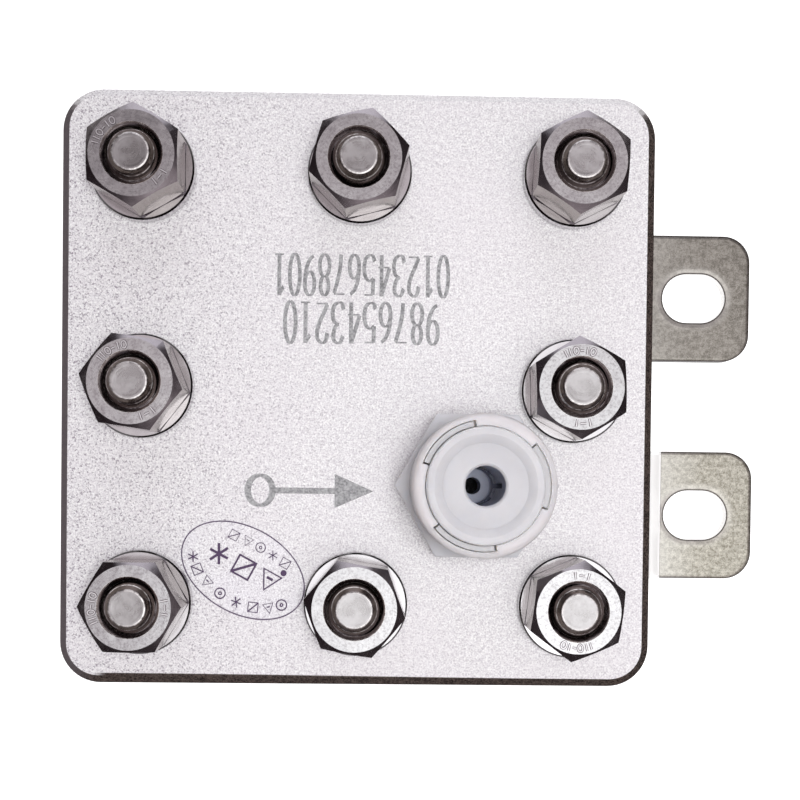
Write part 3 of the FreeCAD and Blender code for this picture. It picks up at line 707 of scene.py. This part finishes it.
# %% A piece from points and faces
def new_piece(name, points, faces, material, crease=35):
    """A piece on the cell from points in mm. Edges sharper than crease degrees stay sharp."""
    mesh = bpy.data.meshes.new(name)
    mesh.from_pydata([(x * MM, y * MM, z * MM) for x, y, z in points], [], faces)
    shape = bmesh.new()
    shape.from_mesh(mesh)
    bmesh.ops.remove_doubles(shape, verts=shape.verts, dist=1e-7)
    bmesh.ops.dissolve_degenerate(shape, dist=1e-7, edges=shape.edges)
    bmesh.ops.recalc_face_normals(shape, faces=shape.faces)
    for face in shape.faces:
        face.smooth = True
    for edge in shape.edges:
        edge.smooth = len(edge.link_faces) == 2 and edge.calc_face_angle(0) < math.radians(crease)
    shape.to_mesh(mesh)
    shape.free()
    piece = bpy.data.objects.new(name, mesh)
    bpy.context.scene.collection.objects.link(piece)
    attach(piece, "cell")
    put_on(material, piece)
    return piece


def ring_faces(first, second, count):
    """Quads between two rings of points, by their numbers."""
    ends = [(k, (k + 1) % count) for k in range(count)]
    return [(first + a, first + b, second + b, second + a) for a, b in ends]


print("a ring of four has the faces", ring_faces(0, 4, 4))

# %% [markdown]
# The thread of a bolt is a strip that climbs round the axis as it turns, one pitch for each turn, and is
# trimmed by the cone of the bolt's tip. A Screw modifier could make the strip too, but the trimming is
# simpler where each point is worked out. The tip is closed by rings that round its rim off.


# %% Threaded tip
STEPS = 96
THREAD_PITCH, THREAD_R, ROOT_R, THREAD_DEPTH = 1.0, 2.98, 2.4, 2.2
TIP_Z, NUT_TOP = bolts_high.z / MM, nuts_high.z / MM
TIP_ROWS = (
    (2.12, 0.075), (2.07, 0.039), (2.01, 0.017), (1.93, 0.005),
    (1.86, 0.0), (1.7, 0.01), (1.0, 0.02), (0.5, 0.02),
)
RIM_R, RIM_Z = TIP_ROWS[0][0], TIP_Z - TIP_ROWS[0][1]


def thread_radius(share):
    """The thread's radius at a share of one pitch: a flat crest, a flank down, the root, a flank up."""
    steps = ((0.0, THREAD_R), (0.12, THREAD_R), (0.5, ROOT_R), (0.62, ROOT_R), (1.0, THREAD_R))
    for (a, ra), (b, rb) in zip(steps, steps[1:]):
        if a <= share <= b:
            return ra + (rb - ra) * (share - a) / (b - a)


def tip_points(x, y, turn):
    """Points and faces of one threaded tip round the axis at x, y."""
    points, faces = [], []
    shares = (0.0, 0.12, 0.31, 0.5, 0.62, 0.81, 1.0)
    start = NUT_TOP - THREAD_DEPTH
    turns = math.ceil(TIP_Z - start) + 1
    for step in range(turns * STEPS + 1):
        angle = 2 * math.pi * step / STEPS + turn
        for share in shares:
            z = start + THREAD_PITCH * (step / STEPS + share - 1)
            r = min(thread_radius(share), RIM_R + (RIM_Z - z) * 0.9) if z < RIM_Z else RIM_R
            z = min(z, RIM_Z)
            points.append((x + r * math.cos(angle), y + r * math.sin(angle), z))
    width = len(shares)
    for step in range(turns * STEPS):
        for k in range(width - 1):
            low = step * width + k
            faces.append((low, low + width, low + width + 1, low + 1))
    first = len(points)
    for r, drop in TIP_ROWS:
        for k in range(STEPS):
            angle = 2 * math.pi * k / STEPS + turn
            points.append((x + r * math.cos(angle), y + r * math.sin(angle), TIP_Z - drop))
    last = len(TIP_ROWS) - 1
    for level in range(last):
        faces += ring_faces(first + level * STEPS, first + (level + 1) * STEPS, STEPS)
    faces.append(tuple(range(first + last * STEPS, first + last * STEPS + STEPS)))
    return points, faces


print("thread from %.1f to %.1f mm" % (NUT_TOP - THREAD_DEPTH, TIP_Z))

# %% [markdown]
# Under the cell each bolt has a hexagon head, whose corners are cut back by a cone, and a plain shank. One
# ring of points at each level gives all of it: on a hexagon the radius changes with the angle, and where
# the cone meets it the height changes too. A cylinder with six sides would have no such curved chamfer.


# %% Bolt head and shank
HEAD_FLAT, HEAD_FACE_R, HEAD_HEIGHT, SHANK_R = 5.0, 4.75, 4.0, 2.99


def head_points(x, y, turn):
    """Points and faces of one bolt head and its plain shank."""
    low = bolts_low.z / MM
    high, shank_top = low + HEAD_HEIGHT, NUT_TOP - THREAD_DEPTH + 0.2
    rows = [[] for level in range(6)]
    for k in range(STEPS):
        angle = 2 * math.pi * k / STEPS
        hexagon = HEAD_FLAT / math.cos((angle + math.pi / 6) % (math.pi / 3) - math.pi / 6)
        slope = low + (hexagon - HEAD_FACE_R) * math.tan(math.radians(30))
        levels = ((1.0, low), (HEAD_FACE_R, low), (hexagon, slope), (hexagon, high),
                  (SHANK_R, high), (SHANK_R, shank_top))
        for row, (r, z) in zip(rows, levels):
            row.append((x + r * math.cos(angle + turn), y + r * math.sin(angle + turn), z))
    faces = [tuple(range(STEPS))]
    for level in range(len(rows) - 1):
        faces += ring_faces(level * STEPS, (level + 1) * STEPS, STEPS)
    return sum(rows, []), faces


chance = random.Random(8)
points, faces = [], []
for bolt_x, bolt_y in BOLTS:
    for make in (tip_points, head_points):
        new_points, new_faces = make(bolt_x / MM, bolt_y / MM, chance.uniform(0, 2 * math.pi))
        faces += [tuple(i + len(points) for i in face) for face in new_faces]
        points += new_points
threaded_bolts = new_piece("threaded_bolts", points, faces, bolt_steel)
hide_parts("tie_bolts")
print("threaded bolts:", len(threaded_bolts.data.polygons), "faces")

# %% [markdown]
# The marks on the top plate are thin ribbons of metal colour that lie just on the surface. Real marks like
# these are burnt in by a laser, which would be an image texture in most scenes, but a ribbon stays sharp
# from any distance. A broad pen draws them: it is wide where a stroke goes up or down and thin where it
# goes across, which is what gives old printed numerals their look.


# %% A broad pen
def bend_through(points, steps=8):
    """More points along a smooth line through the given ones."""
    last = len(points) - 1
    line = []
    for i in range(last):
        p = [points[min(max(i + k, 0), last)] for k in (-1, 0, 1, 2)]
        for step in range(steps):
            t = step / steps
            t2, t3 = t * t, t ** 3
            weights = (2 * t2 - t - t3, 2 - 5 * t2 + 3 * t3, t + 4 * t2 - 3 * t3, t3 - t2)
            line.append(tuple(sum(w * near[a] for w, near in zip(weights, p)) / 2 for a in (0, 1)))
    return line + [points[-1]]


def ribbon(line, thick, thin, closed=False):
    """Points and faces of a pen stroke along a line."""
    points, n = [], len(line)
    pieces = n if closed else n - 1
    for i in range(n):
        before = line[i - 1] if closed or i else line[i]
        after = line[(i + 1) % n] if closed or i < n - 1 else line[i]
        along = Vector((after[0] - before[0], after[1] - before[1])).normalized()
        half = (thin + (thick - thin) * abs(along.y)) / 2
        points += [(line[i][0] - along.y * half, line[i][1] + along.x * half),
                   (line[i][0] + along.y * half, line[i][1] - along.x * half)]
    faces = [(2 * i, 2 * i + 1, (2 * i + 3) % (2 * n), (2 * i + 2) % (2 * n)) for i in range(pieces)]
    return points, faces


def oval(x, y, long_r, short_r, steps=40):
    """Points round an oval."""
    turns = [2 * math.pi * k / steps for k in range(steps)]
    return [(x + long_r * math.cos(turn), y + short_r * math.sin(turn)) for turn in turns]


print("a smooth line through 3 points has", len(bend_through([(0, 0), (1, 1), (2, 0)])), "points")

# %% [markdown]
# Flat shapes become one thin piece with a Solidify modifier, which gives the ribbons their thickness. They
# can be scaled, turned and moved first, so that one drawing of a sign serves wherever it is needed.


# %% Thin pieces from flat shapes
INK_THICK = 0.02 * MM
LAYER_STEP = 0.0012 * MM


def flat_piece(name, shapes, material, low):
    """One thin piece from flat shapes, each a list of points in mm and a list of faces.
    Strokes that cross lie at slightly different heights, as faces in one place would flicker."""
    points, faces = [], []
    for layer, (shape_points, shape_faces) in enumerate(shapes):
        faces += [tuple(len(points) + i for i in face) for face in shape_faces]
        points += [(x * MM, y * MM, low + layer % 5 * LAYER_STEP) for x, y in shape_points]
    mesh = bpy.data.meshes.new(name)
    mesh.from_pydata(points, [], faces)
    for face in mesh.polygons:
        if face.normal.z < 0:
            face.flip()
    piece = bpy.data.objects.new(name, mesh)
    bpy.context.scene.collection.objects.link(piece)
    solid = piece.modifiers.new("thickness", "SOLIDIFY")
    solid.thickness = INK_THICK
    solid.offset = 1
    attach(piece, "cell")
    put_on(material, piece)


def moved_points(points, x, y, turn=0.0, scale_x=1.0, scale_y=1.0):
    """Flat points, scaled, turned by so many degrees and moved."""
    c, s = math.cos(math.radians(turn)), math.sin(math.radians(turn))
    scaled = [(px * scale_x, py * scale_y) for px, py in points]
    return [(x + c * px - s * py, y + s * px + c * py) for px, py in scaled]


def moved_shapes(shapes, *move):
    """Copies of flat shapes, moved as moved_points does."""
    return [(moved_points(points, *move), faces) for points, faces in shapes]


print("marks are %.2f mm thick" % (INK_THICK / MM))

# %% [markdown]
# A numeral is a few strokes in a box that is 1 wide and 2 high. Straight strokes have two points, and a
# smooth line is drawn through the points of a bent one. A font would do as well, but its shapes would come
# from another file. The nine is the six upside down.

# %% Numerals
CURVES = {
    0: [(oval(0.5, 1.0, 0.4, 1.0), True)],
    1: [([(0.55, 2.0), (0.55, 0.0)], False), ([(0.2, 1.6), (0.55, 1.95)], False),
        ([(0.2, 0.03), (0.9, 0.03)], False)],
    2: [([(0.1, 1.5), (0.22, 1.86), (0.5, 1.98), (0.82, 1.78), (0.86, 1.42), (0.68, 0.98), (0.35, 0.5),
          (0.1, 0.1)], False),
        ([(0.08, 0.08), (0.92, 0.08)], False)],
    3: [([(0.12, 1.62), (0.28, 1.9), (0.52, 1.98), (0.8, 1.82), (0.82, 1.5), (0.68, 1.2),
          (0.42, 1.08)], False),
        ([(0.42, 1.08), (0.76, 0.95), (0.9, 0.6), (0.8, 0.2), (0.48, 0.02), (0.2, 0.08),
          (0.08, 0.36)], False)],
    4: [([(0.7, 2.0), (0.7, 0.0)], False), ([(0.66, 1.95), (0.06, 0.62)], False),
        ([(0.06, 0.6), (0.96, 0.6)], False)],
    5: [([(0.2, 1.94), (0.86, 1.94)], False), ([(0.2, 1.94), (0.16, 1.14)], False),
        ([(0.16, 1.14), (0.45, 1.26), (0.76, 1.1), (0.9, 0.7), (0.8, 0.22), (0.48, 0.02), (0.2, 0.07),
          (0.08, 0.32)], False)],
    6: [([(0.8, 1.92), (0.5, 1.72), (0.25, 1.34), (0.13, 0.8), (0.13, 0.6)], False),
        (oval(0.5, 0.58, 0.38, 0.57), True)],
    7: [([(0.08, 1.92), (0.92, 1.92)], False),
        ([(0.92, 1.9), (0.62, 1.2), (0.44, 0.6), (0.38, 0.0)], False)],
    8: [(oval(0.5, 1.52, 0.32, 0.46), True), (oval(0.5, 0.54, 0.39, 0.53), True)],
}
CURVES[9] = [([(1 - x, 2 - y) for x, y in line], closed) for line, closed in CURVES[6]]


def numeral(digit):
    """The strokes of one numeral, 1 wide and 2 high."""
    shapes = []
    for line, closed in CURVES[digit]:
        smooth = line if closed or len(line) == 2 else bend_through(line)
        shapes.append(ribbon(smooth, 0.3, 0.08, closed))
    return shapes


print("the five has", len(numeral(5)), "strokes")

# %% [markdown]
# Two rows of numerals and an arrow stand on the plate, upside down as seen from the front. The arrow
# points at the fitting, where the gas comes out. Their metal is the plate's own, darkened by the laser.


# %% Marks on the top plate
def numeral_row(digits, middle_x, middle_y, width, height):
    """Numerals in a row that is read from the other side of the plate."""
    step = width / len(digits)
    shapes = []
    for place_in_row, digit in enumerate(digits):
        x = middle_x + width / 2 - place_in_row * step - step * 0.08
        shapes += moved_shapes(numeral(digit), x, middle_y + height / 2, 180, step * 0.84, height / 2)
    return shapes


marked_steel, tree, shader, at = new_finish("marked_steel", metallic=0.5, roughness=0.6)
grain = place(tree, blasted_grain, {"Place": at["Place"], "Grains per mm": 4.2, "Contrast": 1.0})
tree.links.new(tint(tree, grain["Tone"], paint(128, 128, 130), paint(186, 186, 188)), shader["Base Color"])
tree.links.new(dent(tree, grain["Height"], 0.5, 0.00005), shader["Normal"])
MARK_Z = PLATE_TOP + 0.005 * MM
row_one = numeral_row([k % 10 for k in range(12)], 0.3, 13.3, 20.8, 4.8)
row_two = numeral_row(range(9, -1, -1), 0.35, 7.75, 18.5, 4.8)
ARROW_Y, ARROW_TIP, ARROW_HEAD = -11.9, 1.9, 4.5
arrow_back = ARROW_TIP - ARROW_HEAD
arrow = [
    ribbon([(-10.0, ARROW_Y), (arrow_back + 0.4, ARROW_Y)], 0.7, 0.7),
    ([(arrow_back, ARROW_Y - 2.0), (ARROW_TIP, ARROW_Y), (arrow_back, ARROW_Y + 2.0)], [(0, 1, 2)]),
    ribbon(oval(-11.3, ARROW_Y, 1.45, 1.75), 0.75, 0.35, True),
]
for name, shapes in (("numeral_row_one", row_one), ("numeral_row_two", row_two), ("flow_arrow", arrow)):
    flat_piece(name, shapes, marked_steel, MARK_Z)

# %% [markdown]
# The inspection sticker is a clear oval film with dark print. Glass shaders make a thin film dark, because
# light has to find its way through twice. A glossy white surface with a low Alpha looks the same and lets
# the light straight through, so the film uses that. Its edge is thin and round, made of ovals that shrink.

# %% Sticker film
clear_film, tree, shader, at = new_finish("clear_film", roughness=0.12)
patch = place(tree, smudges, {"Place": at["Place"], "Per mm": 0.25})["Mask"]
tree.links.new(tint(tree, patch, paint(246, 246, 250), paint(232, 230, 238)), shader["Base Color"])
tree.links.new(fade(tree, patch, 0.0, 1.0, 0.1, 0.2), shader["Alpha"])
tree.links.new(dent(tree, noise(tree, at["Place"], 0.4, 2.0), 0.3, 0.0003), shader["Normal"])
STICKER = ((sticker_low.x + sticker_high.x) / 2 / MM, (sticker_low.y + sticker_high.y) / 2 / MM)
LONG_R, SHORT_R, STICKER_TURN = 7.8, 5.15, -28.4
FILM_LOW, FILM_THICK = PLATE_TOP / MM + 0.01, 0.085
rings = ((0.0, 1.0), (0.0, 0.985), (0.35, 0.97), (0.9, 0.9), (1.0, 0.75), (1.0, 0.4), (1.0, 0.05))
points = []
for rise, share in rings:
    line = moved_points(oval(0, 0, 1, 1, STEPS), *STICKER, STICKER_TURN, LONG_R * share, SHORT_R * share)
    points += [(x, y, FILM_LOW + FILM_THICK * rise) for x, y in line]
last = len(rings) - 1
faces = [tuple(range(last * STEPS, (last + 1) * STEPS))]
for level in range(last):
    faces += ring_faces(level * STEPS, (level + 1) * STEPS, STEPS)
sticker_film = new_piece("sticker_film", points, faces, clear_film, crease=60)
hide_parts("inspection_sticker")

# %% [markdown]
# The film's print is dark violet: an outline, one row of large figures and two of small ones. Each figure
# is a few bars in a box that is 1 wide and 1 high, drawn with the same pen as the numerals. Text objects
# could make rows of letters, but these signs don't have to be read.

# %% Signs of the sticker
print_ink, tree, shader, at = new_finish("print_ink", roughness=0.4)
speck = noise(tree, at["Place"], 3.0, 2.0)
tree.links.new(tint(tree, speck, paint(46, 28, 58), paint(78, 58, 88)), shader["Base Color"])
tree.links.new(fade(tree, speck, 0.3, 0.7, 0.3, 0.5), shader["Roughness"])
tree.links.new(dent(tree, speck, 0.2, 0.00002), shader["Normal"])
EMBLEMS = {
    "target": [(oval(0, 0, 0.45, 0.45, 24), True), (oval(0, 0, 0.12, 0.12, 12), True)],
    "pennant": [([(-0.45, -0.4), (0.45, -0.4), (0.0, 0.45)], True),
                ([(-0.15, -0.12), (0.15, -0.12)], False)],
    "frame": [([(-0.42, -0.42), (0.42, -0.42), (0.42, 0.42), (-0.42, 0.42)], True),
              ([(-0.42, -0.42), (0.42, 0.42)], False)],
    "star": [([(-0.45, 0.0), (0.45, 0.0)], False), ([(-0.23, -0.42), (0.23, 0.42)], False),
             ([(-0.23, 0.42), (0.23, -0.42)], False)],
}


def emblem(name, x, y, size, pen, turn=0.0):
    """One small figure of bars, size mm high."""
    figure = [ribbon(line, pen / size, pen / size, closed) for line, closed in EMBLEMS[name]]
    return moved_shapes(figure, x, y, turn, size, size)


print("signs:", list(EMBLEMS))

# %% [markdown]
# The upper small row follows the outline, so each of its figures is turned to stand square on the oval.
# The slope of an oval comes from its formula. The large figures and the lower row stand straight.

# %% Sticker print
OUTLINE_IN, ARCH_IN = 0.12, 1.45
shapes = [ribbon(oval(0, 0, LONG_R - OUTLINE_IN, SHORT_R - OUTLINE_IN, STEPS), 0.13, 0.13, True)]
names = list(EMBLEMS)
for k in range(8):
    angle = math.radians(158 - 19.4 * k)
    x, y = (LONG_R - ARCH_IN) * math.cos(angle), (SHORT_R - ARCH_IN) * math.sin(angle)
    square_on = math.degrees(math.atan2(-x / LONG_R ** 2, y / SHORT_R ** 2))
    shapes += emblem(names[k % 4], x, y, 1.35, 0.14, square_on)
for k, name in enumerate(("pennant", "frame", "star")):
    shapes += emblem(name, -3.2 + 3.3 * k, -0.35, 2.6, 0.3)
for k in range(5):
    shapes += emblem(names[(k + 2) % 4], -3.9 + 1.7 * k, -3.1 - 0.12 * (2 - abs(k - 2)), 1.25, 0.1)
shapes.append((oval(-4.3, -2.0, 0.36, 0.36, 20), [tuple(range(20))]))
print_shapes = moved_shapes(shapes, *STICKER, STICKER_TURN + 180)
flat_piece("sticker_print", print_shapes, print_ink, PLATE_TOP + 0.1 * MM)

# %% [markdown]
# Some of the nuts carry stamped marks on their faces. Bars, rings and dashes stand for them. The light and
# shade of a stamped stroke are painted: each is drawn twice, wide and dark as painted shade, then thin and
# bright on top as a painted highlight. Real dents would have to be cut into the CAD nuts, which stay as
# they are.

# %% Nut marks
NUT_MARKS = {(-1, 1): 140, (-1, 0): 118, (1, 0): 92, (-1, -1): 180, (1, -1): -95}
MARK_R, MARK_HALF = 4.05, 0.42


def stamped(bars, rings, dash, pen):
    """A mark in a row: upright bars and rings at these places, and one dash from here to there."""
    strokes = [ribbon([(x, -MARK_HALF), (x, MARK_HALF)], pen, pen) for x in bars]
    strokes += [ribbon(oval(x, 0.0, 0.28, 0.4, 20), pen, pen, True) for x in rings]
    return strokes + [ribbon([(dash[0], 0.0), (dash[1], 0.0)], pen, pen)]


def round_the_ring(shapes, i, j, angle):
    """Bends flat shapes round the ring of the nut in column i and row j, tops pointing outwards."""
    bent = []
    for points, faces in shapes:
        placed = []
        for x, y in points:
            turn = math.radians(angle) - x / MARK_R
            placed.append((i * PITCH / MM + (MARK_R + y) * math.cos(turn),
                           j * PITCH / MM + (MARK_R + y) * math.sin(turn)))
        bent.append((placed, faces))
    return bent


def nut_marks(pen):
    """Both marks of each marked nut, drawn with a pen this wide."""
    shapes = []
    for (i, j), angle in NUT_MARKS.items():
        long_mark = stamped((-1.75, -1.25, 0.7), (-0.55, 1.35), (-0.1, 0.32), pen)
        short_mark = stamped((-0.8, 0.7), (), (-0.38, 0.28), pen)
        shapes += round_the_ring(long_mark, i, j, angle) + round_the_ring(short_mark, i, j, angle + 180)
    return shapes


# Dark strokes are painted shade and bright strokes painted highlights.
stamp_shade_steel = bright_steel("stamp_shade_steel", paint(120, 112, 116), paint(140, 132, 136), 0.5, 0.1)
stamp_highlight_steel = bright_steel("stamp_highlight_steel", paint(222, 220, 222), paint(236, 234, 236), 0.35, 0.1)
flat_piece("nut_mark_shade", nut_marks(0.27), stamp_shade_steel, nuts_high.z + 0.001 * MM)
flat_piece("nut_mark_highlights", nut_marks(0.12), stamp_highlight_steel, nuts_high.z + 0.035 * MM)

# %% [markdown]
# The camera stands above the cell, a little in front of its middle, as a hand would hold it over the top
# plate. A constraint could aim it, but it looks straight down and not at any one piece, so its place and
# turn are typed in. Its shift moves the view along without tilting it.

# %% Camera
camera = bpy.data.objects.new("camera", bpy.data.cameras.new("camera"))
bpy.context.scene.collection.objects.link(camera)
bpy.context.scene.camera = camera
SENSOR_WIDTH = 36.0
camera.data.lens = 46.935
camera.data.sensor_width = SENSOR_WIDTH
camera.data.shift_y = 0.125
camera.data.clip_start = 0.001
to_camera = Euler([math.radians(a) for a in (0.866, 1.08, -0.634)], "XYZ").to_matrix()
camera.rotation_euler = to_camera.transposed().to_euler("XYZ")
camera.location = (2.76 * MM, -11.02 * MM, PLATE_TOP + 122.25 * MM)
above = (camera.location.z - PLATE_TOP) / MM
print("lens %.1f mm, camera %.0f mm above the plate" % (camera.data.lens, above))

# %% [markdown]
# The studio is a plain room in soft light: a bright window of light almost straight above, dim walls, a
# pale wall at the back and a pale band along the floor. A few lamps could make it, but bright steel is a
# mirror that would show each lamp's hard edge, so the room is painted on the World as smooth gradients of
# the direction instead. A curve says how bright the window is at each angle from its middle.

# %% World light
WINDOW = (
    (0, 0.8), (5, 0.47), (10, 0.345), (16, 0.345), (20.5, 0.2), (25, 0.163),
    (28, 0.14), (32, 0.125), (38, 0.06), (45, 0.016), (60, 0.003), (90, 0),
)
WINDOW_STRENGTH = 5.0
world = bpy.data.worlds.new("studio")
bpy.context.scene.world = world
world.use_nodes = True
tree = world.node_tree
tree.nodes.clear()
look = vectors(tree, "NORMALIZE", add(tree, "TexCoord").outputs["Generated"])


def degrees_from(aim):
    """The angle between the direction looked in and an aim."""
    facing = vectors(tree, "DOT_PRODUCT", look, tuple(Vector(aim).normalized()))
    return times(tree, sums(tree, "ARCCOSINE", facing), 180 / math.pi)


away = degrees_from((0.13, -0.18, 1.0))
window = add(tree, "FloatCurve", {"Value": sums(tree, "DIVIDE", away, WINDOW[-1][0])})
curve = window.mapping.curves[0]
for degrees, level in WINDOW[1:-1]:
    curve.points.new(degrees / WINDOW[-1][0], level)
curve.points[0].location = (0.0, WINDOW[0][1])
curve.points[-1].location = (1.0, WINDOW[-1][1])
window.mapping.update()
height = components(tree, look)["Z"]
light_tone = tint(tree, fade(tree, away, 14.0, 30.0), paint(254, 255, 255), paint(255, 244, 247))
walls = tint(tree, fade(tree, height, 0.25, 0.9), paint(50, 40, 43), paint(76, 70, 74))
GLOWS = (
    (light_tone, times(tree, window.outputs[0], WINDOW_STRENGTH)),
    (paint(255, 253, 250), fade(tree, height, 0.05, 0.15, 0.9, 0.0)),
    (walls, 1.0),
    (paint(247, 248, 255), fade(tree, degrees_from((0.0, 0.92, 0.39)), 14.0, 32.0, 1.5, 0.0)),
)
glows = [add(tree, "Background", {"Color": tone, "Strength": strength}) for tone, strength in GLOWS]
room = glows[0]
for glow in glows[1:]:
    room = add(tree, "AddShader", {0: room.outputs[0], 1: glow.outputs[0]})
tree.links.new(room.outputs[0], add(tree, "OutputWorld").inputs["Surface"])
print("the room is made of", len(glows), "glows")

# %% [markdown]
# One small lamp adds what the room is too soft for: a shadow under the nuts and the fitting. Steel would
# show it as a hard white spot, so it is hidden from reflections.

# %% Key lamp
key_data = bpy.data.lights.new("key", "AREA")
key_data.shape = "DISK"
key_data.size = 0.05
key_data.energy = 0.31
key = bpy.data.objects.new("key", key_data)
bpy.context.scene.collection.objects.link(key)
key.location = (0.02, -0.01, 0.2)
key.rotation_euler = (Vector((0, 0, PLATE_TOP)) - key.location).to_track_quat("-Z", "Y").to_euler()
key.visible_glossy = False
print("key lamp %.2f W" % key_data.energy)

# %% [markdown]
# The floor is a wide pale disc. To the camera, to metal and to glass it also glows a little, so that the
# background comes out white, while to the rest of the light it is an ordinary pale floor that keeps the
# object's shadow.

# %% Floor
REACH, FLOOR_SIDES = 3.0, 64
floor_mesh = bpy.data.meshes.new("floor")
rim = [(x, y, FLOOR - 0.02 * MM) for x, y in oval(0, 0, REACH, REACH, FLOOR_SIDES)]
floor_mesh.from_pydata(rim, [], [tuple(range(FLOOR_SIDES))])
floor = bpy.data.objects.new("floor", floor_mesh)
bpy.context.scene.collection.objects.link(floor)
floor_paint = bpy.data.materials.new("floor_paint")
floor_paint.use_nodes = True
tree = floor_paint.node_tree
tree.nodes.clear()
path = add(tree, "LightPath").outputs
seen = greatest(tree, path["Is Camera Ray"], path["Is Glossy Ray"], path["Is Transmission Ray"])
matt = add(tree, "BsdfDiffuse", {"Color": (0.5, 0.5, 0.5, 1)})
shine = add(tree, "Emission", {"Color": (1, 1, 1, 1), "Strength": times(tree, seen, 0.9)})
both = add(tree, "AddShader", {0: matt.outputs[0], 1: shine.outputs[0]})
tree.links.new(both.outputs[0], add(tree, "OutputMaterial").inputs["Surface"])
floor.data.materials.append(floor_paint)
print("floor %.0f m across" % (2 * REACH))

# %% [markdown]
# Last come the colour settings, which stay plain. Blender may dress the CAD model but must not make it
# bigger.

# %% Finish
bpy.context.scene.view_settings.view_transform = "Standard"
